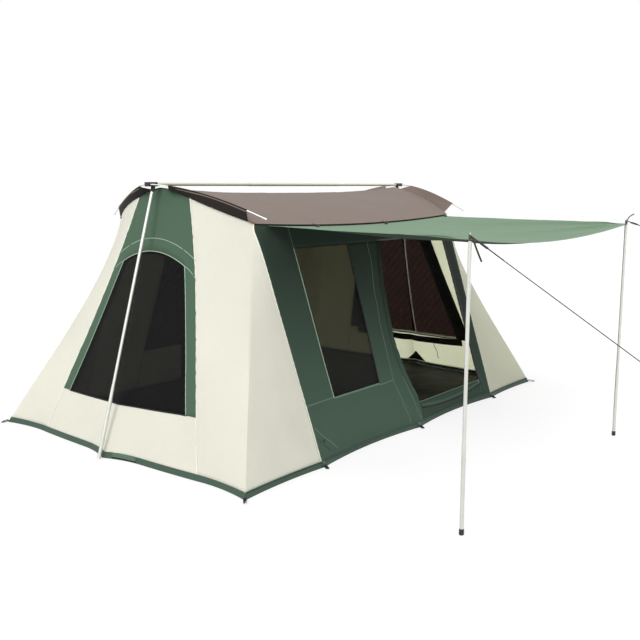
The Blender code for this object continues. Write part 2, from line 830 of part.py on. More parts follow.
def rod_point(end, y):
    """Centre line of a bow rod at distance y from the ridge plane."""
    z = RIDGE_HEIGHT - ROD_TIP_DROP * (abs(y) / ROD_TIP_Y) ** ROD_ARCH_SHARE
    return Vector((end * (ROD_START_X - ROD_SWEEP_SHARES[end] * abs(y)) + lean(z), y, z))


def visor(end_name, side_name):
    end = ENDS[end_name]
    side = SIDES[side_name]

    def place(u, v):
        root = roof_point(end, side * lerp(VISOR_NOTCH_ROOF_Y, VISOR_END_Y, u) / eave_y(1.0))
        rod_y = lerp(VISOR_NOTCH_ROD_Y, VISOR_END_Y, u)
        rod = rod_point(end, side * rod_y)
        tangent = (rod_point(end, side * (rod_y + VISOR_GAP)) - rod).normalized()
        reach = (rod - root).normalized()
        square = (reach - tangent * reach.dot(tangent)).length
        return (root + reach * VISOR_GAP).lerp(rod - reach * (ROD_RADIUS + 2 * GAP) / square, v)

    cloth(end_name + "_" + side_name + "_visor", place, even(12), even(2), TAUPE, (end, 0, 0.5))


# Ridge pole: near and far sections plug into the middle one

PLUG_RADIUS = SLEEVE_RADIUS - TUBE_WALL - TUBE_RUNNING_GAP


def bracket_x(end):
    return end * BRACKET_X + lean(RIDGE_HEIGHT)


def button(name, centre, outward, drilled):
    """A domed spring button with a flange inside the plugged joint."""
    out = Vector(outward)
    base = SLEEVE_RADIUS - BUTTON_DEPTH
    length = BUTTON_DEPTH + BUTTON_PROUD
    profile = [
        (0.0, length), (BUTTON_RADIUS / 2, length - BUTTON_DOME / 4),
        (BUTTON_RADIUS, length - BUTTON_DOME), (BUTTON_RADIUS, BUTTON_FLANGE),
        (BUTTON_FLANGE_RADIUS, BUTTON_FLANGE), (BUTTON_FLANGE_RADIUS, 0.0), (0.0, 0.0),
    ]
    pin = turned(name, profile, SMALL_SIDES, STEEL)
    aim(pin, Vector(centre) + out * base, out)
    for piece in drilled:
        drill(piece, BUTTON_RADIUS + BUTTON_CLEARANCE, centre, out, SLEEVE_RADIUS + CUT_OVERRUN)


def ridge_pole():
    half = RIDGE_MIDDLE_LENGTH / 2
    centre = lean(RIDGE_HEIGHT)
    middle = tube("ridge_middle", SLEEVE_RADIUS, RIDGE_MIDDLE_LENGTH, STEEL)
    aim(middle, (centre - half, 0, RIDGE_HEIGHT), (1, 0, 0))
    for end_name, end in ENDS.items():
        inner = centre + end * (half - RIDGE_PLUG_DEPTH)
        outer = bracket_x(end) + end * (BRACKET_SIZE[0] / 2 - BRACKET_WALL - GAP)
        section = tube("ridge_" + end_name, PLUG_RADIUS, abs(outer - inner), STEEL)
        aim(section, (inner, 0, RIDGE_HEIGHT), (end, 0, 0))
        hole_x = centre + end * (half - RIDGE_PLUG_DEPTH / 2)
        button("ridge_button_" + end_name, (hole_x, 0, RIDGE_HEIGHT), (0, -1, 0), (middle, section))


# Uprights, leaning in to the ridge brackets


def upright_axis(end):
    """Foot centre, unit direction up the pole and the length to ridge height."""
    head = Vector((bracket_x(end) - end * COLLAR_INSET, 0, RIDGE_HEIGHT))
    foot = Vector((end * UPRIGHT_FOOT_X, 0, 0))
    direction = (head - foot).normalized()
    foot += direction * (SLEEVE_RADIUS + FOOT_LIP) * sqrt(1 - direction.z ** 2) / direction.z
    return foot, direction, (head - foot).length


def footed_tube(name, radius, length, material):
    """A tube closed at its foot by a cap with a small lip."""
    lip = radius + FOOT_LIP
    bore = radius - TUBE_WALL
    profile = [
        (0.0, FOOT_THICKNESS), (bore, FOOT_THICKNESS), (bore, length), (radius, length),
        (radius, FOOT_HEIGHT), (lip, FOOT_HEIGHT), (lip, 0.0), (0.0, 0.0),
    ]
    return turned(name, profile, TUBE_SIDES, material)


def upright(end_name):
    end = ENDS[end_name]
    foot, direction, reach = upright_axis(end)
    lower = footed_tube(end_name + "_upright_lower", SLEEVE_RADIUS, UPRIGHT_LOWER_LENGTH, STEEL)
    aim(lower, foot, direction)
    start = UPRIGHT_LOWER_LENGTH - UPRIGHT_OVERLAP
    length = reach - COLLAR_STOP - GAP - start
    upper = tube(end_name + "_upright_upper", PLUG_RADIUS, length, STEEL)
    aim(upper, foot + direction * start, direction)
    centre = foot + direction * (UPRIGHT_LOWER_LENGTH - UPRIGHT_OVERLAP / 2)
    button("upright_button_" + end_name, centre, (0, -1, 0), (lower, upper))


def bracket(end_name):
    """A block that takes the ridge end, the upright and the two bow rods."""
    end = ENDS[end_name]
    length, width, _ = BRACKET_SIZE
    centre = Vector((bracket_x(end), 0, RIDGE_HEIGHT))
    block = box(end_name + "_ridge_bracket", BRACKET_SIZE, BLACK_STEEL, bevel=BRACKET_BEVEL)
    block.location = centre
    foot, direction, reach = upright_axis(end)
    near, far = COLLAR_REACH
    outer = PLUG_RADIUS + GAP + COLLAR_WALL
    profile = [(0.0, 0.0), (outer, 0.0), (outer, far - near), (0.0, far - near)]
    collar = turned(block.name + "_collar", profile, TUBE_SIDES, None, cutters)
    aim(collar, foot + direction * (reach - far), direction)
    combine(block, collar, "UNION")
    bore = PLUG_RADIUS + GAP
    stop = foot + direction * (reach - COLLAR_STOP)
    drill(block, bore, stop, -direction, far, TUBE_SIDES)
    ridge_stop = centre + Vector((end * (length / 2 - BRACKET_WALL), 0, 0))
    drill(block, bore, ridge_stop, (-end, 0, 0), length + CUT_OVERRUN, TUBE_SIDES)
    for side in SIDES.values():
        start = rod_point(end, side * (width / 2 - ROD_SOCKET_DEPTH))
        out = (rod_point(end, side * ROD_STRAIGHT_Y) - start).normalized()
        drill(block, ROD_RADIUS + GAP, start - out * GAP, out, ROD_SOCKET_DEPTH + CUT_OVERRUN)


def bow_rod(end_name, side_name):
    end = ENDS[end_name]
    side = SIDES[side_name]
    cap_y = ROD_TIP_Y - ROD_CAP_LENGTH
    ys = [BRACKET_SIZE[1] / 2 - ROD_SOCKET_DEPTH]
    ys += [lerp(ROD_STRAIGHT_Y, cap_y, share) for share in even(ROD_POINTS)]
    ys += [cap_y + GAP, ROD_TIP_Y]
    cap = ROD_CAP_RADIUS / ROD_RADIUS
    factors = [1.0] * (len(ys) - 2) + [cap, cap]
    points = [rod_point(end, side * y) for y in ys]
    wire(end_name + "_" + side_name + "_rod", points, ROD_RADIUS, 3, STEEL, factors)


ridge_pole()
for end_name in ENDS:
    upright(end_name)
    bracket(end_name)
    for side_name in SIDES:
        visor(end_name, side_name)
        bow_rod(end_name, side_name)


# Awning sheet, hung between the eave and the two pole spikes


def awning_point(a, b):
    """a runs from the near side to the far one, b from the wall outwards."""
    x = lerp(*AWNING_INNER_XS, a)
    z = eave_line(x / EAVE_CORNER_X) - AWNING_INNER_DROP
    wall = side_y(x, z) + CLOTH / 2 * (1 + SIDE_SLOPE) + AWNING_INNER_GAP
    inner = Vector((x + lean(z), FRONT * wall, z))
    bow = 4 * a * (1 - a)
    outer_x = lerp(AWNING_POLE_XS["near"], AWNING_POLE_XS["far"], a)
    outer_y = AWNING_POLE_Y + AWNING_SCALLOP * bow
    outer = Vector((outer_x, outer_y, AWNING_HEIGHT - AWNING_EDGE_SAG * bow))
    point = inner.lerp(outer, b)
    point.z -= AWNING_BELLY * bow * 4 * b * (1 - b)
    return point


def awning():
    width = AWNING_POLE_XS["far"] - AWNING_POLE_XS["near"]
    over_a = AWNING_MARGIN / width
    over_b = AWNING_MARGIN / (abs(AWNING_POLE_Y) - EAVE_HALF_WIDTH)

    def place(u, v):
        b = v * (1 + over_b)
        return awning_point(lerp(-over_a * b, 1 + over_a * b, u), b)

    sheet = cloth("awning", place, even(16), even(12), AWNING_GREEN, (0, 0, 1))
    for x in AWNING_POLE_XS.values():
        foot = (x, AWNING_POLE_Y, AWNING_HEIGHT - SPIKE_LENGTH)
        drill(sheet, SPIKE_RADIUS + SPIKE_HOLE_CLEARANCE, foot, (0, 0, 1), 2 * SPIKE_LENGTH)


def awning_pole(name, x):
    lower = footed_tube(
        "awning_pole_" + name + "_lower", AWNING_POLE_LOWER_RADIUS, AWNING_POLE_LOWER_LENGTH, STEEL
    )
    lower.location = (x, AWNING_POLE_Y, 0)
    start = AWNING_POLE_LOWER_LENGTH - AWNING_POLE_OVERLAP
    seat = AWNING_HEIGHT - CLOTH / 2 - AWNING_SEAT_GAP - start
    shoulder = seat - SPIKE_SHOULDER
    radius = AWNING_POLE_UPPER_RADIUS
    bore = radius - TUBE_WALL
    tip = AWNING_HEIGHT + SPIKE_LENGTH - start
    profile = [
        (0.0, shoulder - FOOT_THICKNESS), (bore, shoulder - FOOT_THICKNESS), (bore, 0.0),
        (radius, 0.0), (radius, shoulder), (SPIKE_COLLAR_RADIUS, seat), (SPIKE_RADIUS, seat),
        (SPIKE_RADIUS, tip - SPIKE_RADIUS), (0.0, tip),
    ]
    upper = turned("awning_pole_" + name + "_upper", profile, TUBE_SIDES, STEEL)
    upper.location = (x, AWNING_POLE_Y, start)


# Guy ropes: each doubled round its spike, with a slider on the two strands


def guy_frame(name):
    """Loop centre, direction down the rope and direction across the strands."""
    heading = radians(GUY_HEADINGS[name])
    slope = radians(GUY_SLOPES[name])
    along = Vector((cos(heading) * cos(slope), sin(heading) * cos(slope), -sin(slope)))
    across = Vector((-sin(heading), cos(heading), 0))
    centre = Vector((AWNING_POLE_XS[name], AWNING_POLE_Y, AWNING_HEIGHT + GUY_TOP_RISE))
    loop = SPIKE_RADIUS / cos(slope) + GUY_RADIUS + GUY_LOOP_GAP
    return centre, along, across, loop


def half_turn(centre, along, across, radius, start_sign):
    """Points round the far side of a half circle, from one strand to the other."""
    turns = [pi * step / LOOP_STEPS for step in range(LOOP_STEPS + 1)]
    return [centre + across * start_sign * radius * cos(t) + along * radius * sin(t) for t in turns]


def guy_rope(name):
    centre, along, across, loop = guy_frame(name)
    length = GUY_LENGTHS[name]
    hook_loop = HOOK_RADIUS + GUY_RADIUS + GUY_LOOP_GAP
    tail = GUY_TAILS[name]
    tail_steps = GUY_TAIL_STEPS[name]
    points = [centre - across * loop + along * tail * (1 - k / tail_steps) for k in range(tail_steps)]
    points += half_turn(centre, -along, across, loop, -1)
    steps = GUY_STEPS[name]
    points += [centre + across * loop + along * length * k / steps for k in range(1, steps)]
    eye = centre + across * (loop - hook_loop) + along * length
    points += half_turn(eye, along, across, hook_loop, 1)
    points += [eye - across * hook_loop - along * GUY_HOOK_TAIL * share for share in (0.5, 1.0)]
    wire("guy_rope_" + name, points, GUY_RADIUS, 2, ROPE)

    # The hook's wire bends through the rope's eye, across both strands
    normal = along.cross(across)
    bend = eye + along * HOOK_BEND
    turns = [radians(t) for t in range(HOOK_OPENING, -90 - HOOK_STEP, -HOOK_STEP)]
    hook = [bend + (normal * sin(t) - along * cos(t)) * HOOK_BEND for t in turns]
    hook.append(bend - normal * HOOK_BEND + along * HOOK_SHANK)
    wire("guy_hook_" + name, hook, HOOK_RADIUS, 2, STEEL)


def guy_slider(name):
    centre, along, across, loop = guy_frame(name)
    slider = box("guy_slider_" + name, SLIDER_SIZE, SLIDER_PLASTIC, bevel=SLIDER_BEVEL)
    middle = centre + along * SLIDER_PLACES[name]
    turn = Matrix((along, across, along.cross(across))).transposed().to_4x4()
    slider.matrix_world = Matrix.Translation(middle) @ turn
    length = SLIDER_SIZE[0]
    for sign in (-1, 1):
        start = middle + across * sign * loop - along * length
        drill(slider, GUY_RADIUS + SLIDER_CLEARANCE, start, along, 2 * length)


awning()
for name, x in AWNING_POLE_XS.items():
    awning_pole(name, x)
    guy_rope(name)
    guy_slider(name)


# Door zip slider

zip_x = door_right(DOOR_SILL_HEIGHT) - ZIP_EDGE_INSET
zip_body = box("door_zip_slider", ZIP_SIZE, ZIP_METAL)
zip_slot_size = (2 * ZIP_SIZE[0], CLOTH + 2 * ZIP_CLEARANCE, ZIP_SIZE[2])
zip_slot = box("door_zip_slider_slot", zip_slot_size, None, cutters)
zip_pull = box("door_zip_slider_pull", ZIP_PULL_SIZE, None, cutters)
up = Vector((0, sin(SIDE_ANGLE), cos(SIDE_ANGLE)))
out = Vector((0, FRONT * cos(SIDE_ANGLE), sin(SIDE_ANGLE)))
edge = side_point(FRONT, zip_x, DOOR_SILL_HEIGHT)
zip_body.location = edge + up * (ZIP_CROWN - ZIP_SIZE[2] / 2)
zip_slot.location = edge + up * (GAP - ZIP_SIZE[2] / 2)
pull_out = ZIP_SIZE[1] / 2 + ZIP_PULL_SIZE[1] / 2 - ZIP_PULL_TUCK
zip_pull.location = edge + out * pull_out - up * ZIP_PULL_SIZE[2] / 2
for piece in (zip_body, zip_slot, zip_pull):
    piece.rotation_euler = (-SIDE_ANGLE, 0, 0)
combine(zip_body, zip_slot, "DIFFERENCE")
combine(zip_body, zip_pull, "UNION")
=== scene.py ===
from functools import partial
from math import atan, cos, exp, hypot, pi, radians, sin, sqrt

import bpy
from mathutils import Matrix, Vector, noise


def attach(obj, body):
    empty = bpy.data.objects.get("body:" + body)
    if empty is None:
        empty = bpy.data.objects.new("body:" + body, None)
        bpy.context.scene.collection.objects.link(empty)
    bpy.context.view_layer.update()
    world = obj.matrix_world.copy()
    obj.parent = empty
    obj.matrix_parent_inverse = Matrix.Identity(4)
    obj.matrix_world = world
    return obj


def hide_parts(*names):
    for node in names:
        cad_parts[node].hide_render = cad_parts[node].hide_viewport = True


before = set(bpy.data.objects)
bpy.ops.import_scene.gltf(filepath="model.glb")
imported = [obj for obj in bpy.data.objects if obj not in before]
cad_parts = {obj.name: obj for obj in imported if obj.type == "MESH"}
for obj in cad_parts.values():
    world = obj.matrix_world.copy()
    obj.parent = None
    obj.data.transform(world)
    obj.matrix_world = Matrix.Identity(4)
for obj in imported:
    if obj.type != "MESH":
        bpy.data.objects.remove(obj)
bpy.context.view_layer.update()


def link(name, data):
    obj = bpy.data.objects.new(name, data)
    bpy.context.scene.collection.objects.link(obj)
    return obj


# Camera, at the photograph's place

CAMERA_LENS = 46.04
CAMERA_SENSOR = 36.0
CAMERA_PLACE = (-5.783, -5.044, 2.036)
CAMERA_YAW = radians(39.13)
CAMERA_PITCH = radians(9.29)

camera_data = bpy.data.cameras.new("camera")
camera_data.lens = CAMERA_LENS
camera_data.sensor_width = CAMERA_SENSOR
camera = link("camera", camera_data)
level = cos(CAMERA_PITCH)
forward = Vector((cos(CAMERA_YAW) * level, sin(CAMERA_YAW) * level, -sin(CAMERA_PITCH)))
right = Vector((sin(CAMERA_YAW), -cos(CAMERA_YAW), 0.0))
turn = Matrix((right, right.cross(forward), -forward)).transposed().to_4x4()
camera.matrix_world = Matrix.Translation(CAMERA_PLACE) @ turn
bpy.context.scene.camera = camera

# Sizes, as in the part's source

CLOTH = 0.0024
GAP = 0.0003
FLOOR_LENGTH = 4.267
FLOOR_WIDTH = 2.88
STAKE_SPACING = 1.30
SIDE_SCALLOP = 0.055
END_SCALLOP = 0.018
SCALLOP_HEIGHT = 0.17
POLE_PULL = 0.075
POLE_PULL_REACH = 0.34
POLE_PULL_HEIGHT = 0.80
HEM_HEIGHT = 0.046
EAVE_CORNER_HEIGHT = 1.760
EAVE_SAG = 0.040
EAVE_HALF_WIDTH = 0.812
EAVE_CORNER_X = 1.389
EAVE_CORNER_Y = 0.785
FLARE_LOW_SHARE = 0.12
FLARE_RISE_SHARE = 0.40
CORNER_BLEND_SHARE = 1.5
SIDE_SEAM_X = 1.305
SIDE_SEAM_TOP_X = 1.368
SEAM_SHOWN_XS = {-1: (1.314, 1.398), 1: (1.300, 1.356)}
END_SEAM_FOOT_X = 2.090
END_SEAM_TOP_X = 1.580
END_SEAM_TOP_HEIGHT = 1.950
END_BELLY_SHARE = 0.45
END_CROWN = 0.035
END_SEAM_FOOT_Y = 0.932
END_SEAM_TOP_Y = 0.300
END_WINDOW_FOOT_Y = 0.828
END_WINDOW_SPRING_Y = 0.365
END_WINDOW_SPRING_HEIGHT = 1.440
END_WINDOW_RISE = 0.095
END_SILL_HEIGHT = 0.375
SILL_LIFT = 0.032
SILL_LIFT_Y = 0.750
RIDGE_HEIGHT = 2.050
ROOF_HANG = 0.075
ROOF_RIDGE_END_RISE = 0.050
ROOF_ARCH_SHARE = 1.31
ROOF_LIP = 0.010
ROOF_GAP = 0.0015
RIDGE_LEAN = 0.060
ROD_START_X = 1.742
ROD_TIP_DROP = 0.257
ROD_ARCH_SHARE = 1.65
ROD_TIP_Y = 0.905
ROD_SWEEP_SHARES = {-1: 0.41, 1: 0.22}
VISOR_NOTCH_ROOF_Y = 0.095
VISOR_NOTCH_ROD_Y = 0.165
VISOR_END_Y = 0.760
AWNING_POLE_XS = {"near": -1.705, "far": 0.820}
AWNING_POLE_Y = -2.805
AWNING_HEIGHT = 1.740
AWNING_INNER_XS = (-1.270, 1.300)
AWNING_INNER_DROP = 0.014
AWNING_INNER_GAP = 0.0012
AWNING_EDGE_SAG = 0.070
AWNING_BELLY = 0.045
AWNING_SCALLOP = 0.035
AWNING_MARGIN = 0.012
SPIKE_RADIUS = 0.0035
WINDOW_LEFT_XS = (-1.003, -1.038)
WINDOW_RIGHT_XS = (-0.403, -0.356)
WINDOW_HEIGHTS = (0.438, 1.560)
DOOR_RIGHT_XS = (1.163, 1.180)
DOOR_LEFT_XS = (0.090, -0.078, 0.085)
DOOR_BELLY_HEIGHT = 0.700
DOOR_SILL_HEIGHT = 0.190
DOOR_HEAD_HEIGHT = 1.560
DOOR_ROLL_RADIUS = 0.038
DOOR_ROLL_INSET = 0.035
DOOR_ROLL_SQUASH = 0.86
DOOR_ROLL_HEIGHT = 1.645
BACK_WINDOW_HALF_WIDTH = 0.760
BACK_WINDOW_HEIGHTS = (0.438, 1.500)
GUY_RADIUS = 0.003
GUY_TOP_RISE = 0.024
GUY_LOOP_GAP = 0.0008
GUY_HEADINGS = {"near": -47, "far": -45}
GUY_SLOPES = {"near": 35.6, "far": 18}
GUY_LENGTHS = {"near": 1.330, "far": 0.215}
GUY_TAILS = {"near": 0.240, "far": 0.140}
GUY_STEPS = {"near": 18, "far": 8}
GUY_TAIL_STEPS = {"near": 6, "far": 5}
GUY_HOOK_TAIL = 0.030
LOOP_STEPS = 6
HOOK_RADIUS = 0.0020

FRONT = -1
SIDES = {"front": FRONT, "back": 1}
ENDS = {"near": -1, "far": 1}
HALF_LENGTH = FLOOR_LENGTH / 2
HALF_WIDTH = FLOOR_WIDTH / 2
STAKE_XS = (-HALF_LENGTH, -STAKE_SPACING, 0.0, STAKE_SPACING, HALF_LENGTH)
SIDE_SLOPE = (HALF_WIDTH - EAVE_HALF_WIDTH) / EAVE_CORNER_HEIGHT
SIDE_ANGLE = atan(SIDE_SLOPE)
PANEL_TOP_STEPS = 12


def lerp(a, b, share):
    return a + (b - a) * share


def clamp01(value):
    return max(0.0, min(1.0, value))


def smooth(value):
    value = clamp01(value)
    return value * value * (3 - 2 * value)


def even(count):
    return [step / count for step in range(count + 1)]


def spread(low, high, count):
    return [lerp(low, high, share) for share in even(count)]


def lean(z):
    return RIDGE_LEAN * z / RIDGE_HEIGHT


# Guy ropes, on the same points as their solids


def guy_frame(name):
    heading = radians(GUY_HEADINGS[name])
    slope = radians(GUY_SLOPES[name])
    along = Vector((cos(heading) * cos(slope), sin(heading) * cos(slope), -sin(slope)))
    across = Vector((-sin(heading), cos(heading), 0))
    centre = Vector((AWNING_POLE_XS[name], AWNING_POLE_Y, AWNING_HEIGHT + GUY_TOP_RISE))
    loop = SPIKE_RADIUS / cos(slope) + GUY_RADIUS + GUY_LOOP_GAP
    return centre, along, across, loop


def half_turn(centre, along, across, radius, start_sign):
    turns = [pi * step / LOOP_STEPS for step in range(LOOP_STEPS + 1)]
    return [centre + across * start_sign * radius * cos(t) + along * radius * sin(t) for t in turns]


def guy_points(name):
    centre, along, across, loop = guy_frame(name)
    length = GUY_LENGTHS[name]
    hook_loop = HOOK_RADIUS + GUY_RADIUS + GUY_LOOP_GAP
    tail = GUY_TAILS[name]
    tail_steps = GUY_TAIL_STEPS[name]
    points = [centre - across * loop + along * tail * (1 - k / tail_steps) for k in range(tail_steps)]
    points += half_turn(centre, -along, across, loop, -1)
    steps = GUY_STEPS[name]
    points += [centre + across * loop + along * length * k / steps for k in range(1, steps)]
    eye = centre + across * (loop - hook_loop) + along * length
    points += half_turn(eye, along, across, hook_loop, 1)
    points += [eye - across * hook_loop - along * GUY_HOOK_TAIL * share for share in (0.5, 1.0)]
    return points


def route_length(points):
    return sum((b - a).length for a, b in zip(points, points[1:]))


def rope_piece(name, points, radius):
    """A round rope along its centre line, riding the tent."""
    curve = bpy.data.curves.new(name, "CURVE")
    curve.dimensions = "3D"
    curve.bevel_depth = 1.0
    curve.bevel_resolution = 3
    curve.use_fill_caps = True
    spline = curve.splines.new("POLY")
    spline.points.add(len(points) - 1)
    for spline_point, place in zip(spline.points, points):
        spline_point.co = (*place, 1.0)
        spline_point.radius = radius
    rope = link(name, curve)
    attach(rope, "tent")
    return rope


ropes = []
for name in GUY_LENGTHS:
    points = guy_points(name)
    rope = rope_piece("guy_cord_" + name, points, GUY_RADIUS)
    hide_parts("guy_rope_" + name)
    tuple(points[0])
    route_length(points)
    ropes.append(rope)

# Surfaces of the walls and the roof, as in the part's source


def crease(z):
    """Plan position of the corner fold at height z."""
    share = clamp01(z / EAVE_CORNER_HEIGHT)
    share += share * (1 - share) * (FLARE_LOW_SHARE + FLARE_RISE_SHARE * share)
    return lerp(HALF_LENGTH, EAVE_CORNER_X, share), lerp(HALF_WIDTH, EAVE_CORNER_Y, share)


def fade(z, height):
    return clamp01(1 - z / height) ** 2


def side_scallop(x, reach):
    stakes = (-reach,) + STAKE_XS[1:-1] + (reach,)
    for start, end in zip(stakes, stakes[1:]):
        if start <= x <= end:
            share = (x - start) / (end - start)
            bay = (end - start) / STAKE_SPACING
            return SIDE_SCALLOP * bay * bay * 4 * share * (1 - share)
    return 0.0


def seam_x(z):
    share = clamp01(z / EAVE_CORNER_HEIGHT)
    return lerp(SIDE_SEAM_X, SIDE_SEAM_TOP_X, share)


def seam_line(z, end):
    """Where the corner seam shows: close beside the solids' seam, and never past the corner fold."""
    share = clamp01(z / EAVE_CORNER_HEIGHT)
    return min(lerp(*SEAM_SHOWN_XS[end], share), crease(z)[0] - 0.004)


def side_y(x, z):
    flat = HALF_WIDTH - SIDE_SLOPE * z
    crease_x, crease_y = crease(z)
    if abs(x) > seam_x(z):
        share = clamp01((abs(x) - seam_x(z)) / (crease_x - seam_x(z)))
        flat = lerp(flat, crease_y, share ** CORNER_BLEND_SHARE)
    return flat - side_scallop(x, crease_x) * fade(z, SCALLOP_HEIGHT)


def end_seam_y(z):
    return lerp(END_SEAM_FOOT_Y, END_SEAM_TOP_Y, z / END_SEAM_TOP_HEIGHT)


def end_middle_x(z):
    share = z / END_SEAM_TOP_HEIGHT
    belly = END_BELLY_SHARE * share * share * (1 - share)
    return lerp(END_SEAM_FOOT_X, END_SEAM_TOP_X, share + belly)


def end_x(y, z):
    crease_x, crease_y = crease(z)
    seam_y = end_seam_y(z)
    x = end_middle_x(z)
    if abs(y) > seam_y:
        share = clamp01((abs(y) - seam_y) / (crease_y - seam_y))
        x = lerp(x, crease_x, share ** CORNER_BLEND_SHARE)
        x -= END_SCALLOP * fade(z, SCALLOP_HEIGHT) * 4 * share * (1 - share)
    else:
        x += END_CROWN * (1 - (y / seam_y) ** 2)
    pull = clamp01(1 - abs(y) / POLE_PULL_REACH) ** 2
    return x + POLE_PULL * pull * fade(z, POLE_PULL_HEIGHT)


def side_point(side, x, z):
    return Vector((x + lean(z), side * side_y(x, z), z))


def end_point(end, y, z):
    return Vector((end * end_x(y, z) + lean(z), y, z))


def ridge_line(s):
    return RIDGE_HEIGHT - ROOF_HANG + ROOF_RIDGE_END_RISE * abs(s) ** 3


def eave_line(s):
    return EAVE_CORNER_HEIGHT - EAVE_SAG * (1 - s * s)


def eave_y(s):
    return side_y(s * EAVE_CORNER_X, eave_line(s)) + ROOF_LIP


def roof_height(s, r):
    top = ridge_line(s)
    return top - (top - eave_line(s)) * abs(r) ** ROOF_ARCH_SHARE


def roof_point(s, r):
    z = roof_height(s, r)
    end_z = roof_height(1.0, r)
    reach = end_x(abs(r) * eave_y(1.0), end_z) + ROOF_LIP
    return Vector((s * reach + lean(z), r * eave_y(s), z))


ROOF_EDGE_SLOPE = (ridge_line(0.0) - eave_line(0.0)) * ROOF_ARCH_SHARE / EAVE_HALF_WIDTH
WALL_SEAT = CLOTH / 2 / cos(atan(ROOF_EDGE_SLOPE))
WALL_SEAT += CLOTH / 2 * (ROOF_EDGE_SLOPE + SIDE_SLOPE) + ROOF_GAP


def side_top(x):
    s = max(-1.0, min(1.0, x / EAVE_CORNER_X))
    return eave_line(s) + ROOF_EDGE_SLOPE * ROOF_LIP - WALL_SEAT


def end_top(y):
    return roof_height(1.0, min(1.0, abs(y) / eave_y(1.0))) - WALL_SEAT


def end_panel_top(share):
    """Where a line of an end panel meets the roof, found by steps."""
    z = EAVE_CORNER_HEIGHT
    for _ in range(PANEL_TOP_STEPS):
        z = end_top(lerp(end_seam_y(z), crease(z)[1], share))
    return z


def sill_height(end, y):
    """Top of an end wall's sill: at the near end it lifts toward the front."""
    if end > 0:
        return END_SILL_HEIGHT
    return END_SILL_HEIGHT + SILL_LIFT * clamp01((SILL_LIFT_Y - y) / (2 * SILL_LIFT_Y)) ** 2


def end_window_y(z):
    return lerp(END_WINDOW_FOOT_Y, END_WINDOW_SPRING_Y, z / END_WINDOW_SPRING_HEIGHT)


def end_arch_height(share):
    return END_WINDOW_SPRING_HEIGHT + END_WINDOW_RISE * (1 - share * share)


def upright_edge(x):
    return lambda z: x


def slanted_edge(xs, heights):
    return lambda z: lerp(*xs, (z - heights[0]) / (heights[1] - heights[0]))


def door_left(z):
    low, belly, high = DOOR_LEFT_XS
    if z < DOOR_BELLY_HEIGHT:
        share = (DOOR_BELLY_HEIGHT - z) / (DOOR_BELLY_HEIGHT - DOOR_SILL_HEIGHT)
        return lerp(belly, low, clamp01(share) ** 2)
    share = (z - DOOR_BELLY_HEIGHT) / (DOOR_HEAD_HEIGHT - DOOR_BELLY_HEIGHT)
    return lerp(belly, high, clamp01(share) ** 2)


def rod_point(end, y):
    z = RIDGE_HEIGHT - ROD_TIP_DROP * (abs(y) / ROD_TIP_Y) ** ROD_ARCH_SHARE
    return Vector((end * (ROD_START_X - ROD_SWEEP_SHARES[end] * abs(y)) + lean(z), y, z))


def awning_point(a, b):
    x = lerp(*AWNING_INNER_XS, a)
    z = eave_line(x / EAVE_CORNER_X) - AWNING_INNER_DROP
    wall = side_y(x, z) + CLOTH / 2 * (1 + SIDE_SLOPE) + AWNING_INNER_GAP
    inner = Vector((x + lean(z), FRONT * wall, z))
    bow = 4 * a * (1 - a)
    outer_x = lerp(AWNING_POLE_XS["near"], AWNING_POLE_XS["far"], a)
    outer_y = AWNING_POLE_Y + AWNING_SCALLOP * bow
    outer = Vector((outer_x, outer_y, AWNING_HEIGHT - AWNING_EDGE_SAG * bow))
    point = inner.lerp(outer, b)
    point.z -= AWNING_BELLY * bow * 4 * b * (1 - b)
    return point


# Slack in the cloth: gentle swells, folds that run out from each stake, and puckers beside the seams


def near_seam(z):
    return -seam_line(z, -1)


def far_seam(z):
    return seam_line(z, 1)


window_left = slanted_edge(WINDOW_LEFT_XS, WINDOW_HEIGHTS)
window_right = slanted_edge(WINDOW_RIGHT_XS, WINDOW_HEIGHTS)
door_right = slanted_edge(DOOR_RIGHT_XS, (DOOR_SILL_HEIGHT, DOOR_HEAD_HEIGHT))
window_foot, window_head = WINDOW_HEIGHTS
back_foot, back_head = BACK_WINDOW_HEIGHTS
back_left = upright_edge(-BACK_WINDOW_HALF_WIDTH)
back_right = upright_edge(BACK_WINDOW_HALF_WIDTH)
SIDE_SEAMS = {
    FRONT: (near_seam, far_seam, window_left, window_right, door_left, door_right),
    1: (near_seam, far_seam, back_left, back_right),
}
SIDE_NORMALS = {side: Vector((0, side * cos(SIDE_ANGLE), sin(SIDE_ANGLE))) for side in (FRONT, 1)}
END_ANGLE = 0.27
END_NORMALS = {end: Vector((end * cos(END_ANGLE), 0, sin(END_ANGLE))) for end in (-1, 1)}
SWELL = 0.0048
RIPPLE = 0.0015
SWELL_STRETCH = 0.6
RIPPLE_STRETCH = 0.4
STAKE_FOLD = 0.0034
SIDE_FOLD_REACH = 0.28
END_FOLD_REACH = 0.34
SIDE_SLACK_SIZES = (0.42, 0.11)
END_SLACK_SIZES = (0.40, 0.10)
PUCKER = 0.0011
PUCKER_LENGTH = 0.052
PUCKER_REACH = 0.030
CALM_CORNER = 0.10
CALM_HEM = 0.12
CALM_EAVE = 0.09


def wander(a, b, seed, scale):
    return noise.noise(Vector((a / scale + seed, b / scale, seed * 1.7)))


def slack_at(a, z, seed, swell_size, ripple_size):
    """Swells and ripples, drawn out along the height."""
    swell = SWELL * wander(a, SWELL_STRETCH * z, seed, swell_size)
    return swell + RIPPLE * wander(a, RIPPLE_STRETCH * z, seed + 9, ripple_size)


def calm_at(to_corner, z, top):
    """Share of the slack that is left beside the corner fold, the hem and the eave."""
    above_hem = smooth((z - HEM_HEIGHT) / CALM_HEM)
    return smooth(to_corner / CALM_CORNER) * above_hem * smooth((top - z) / CALM_EAVE)


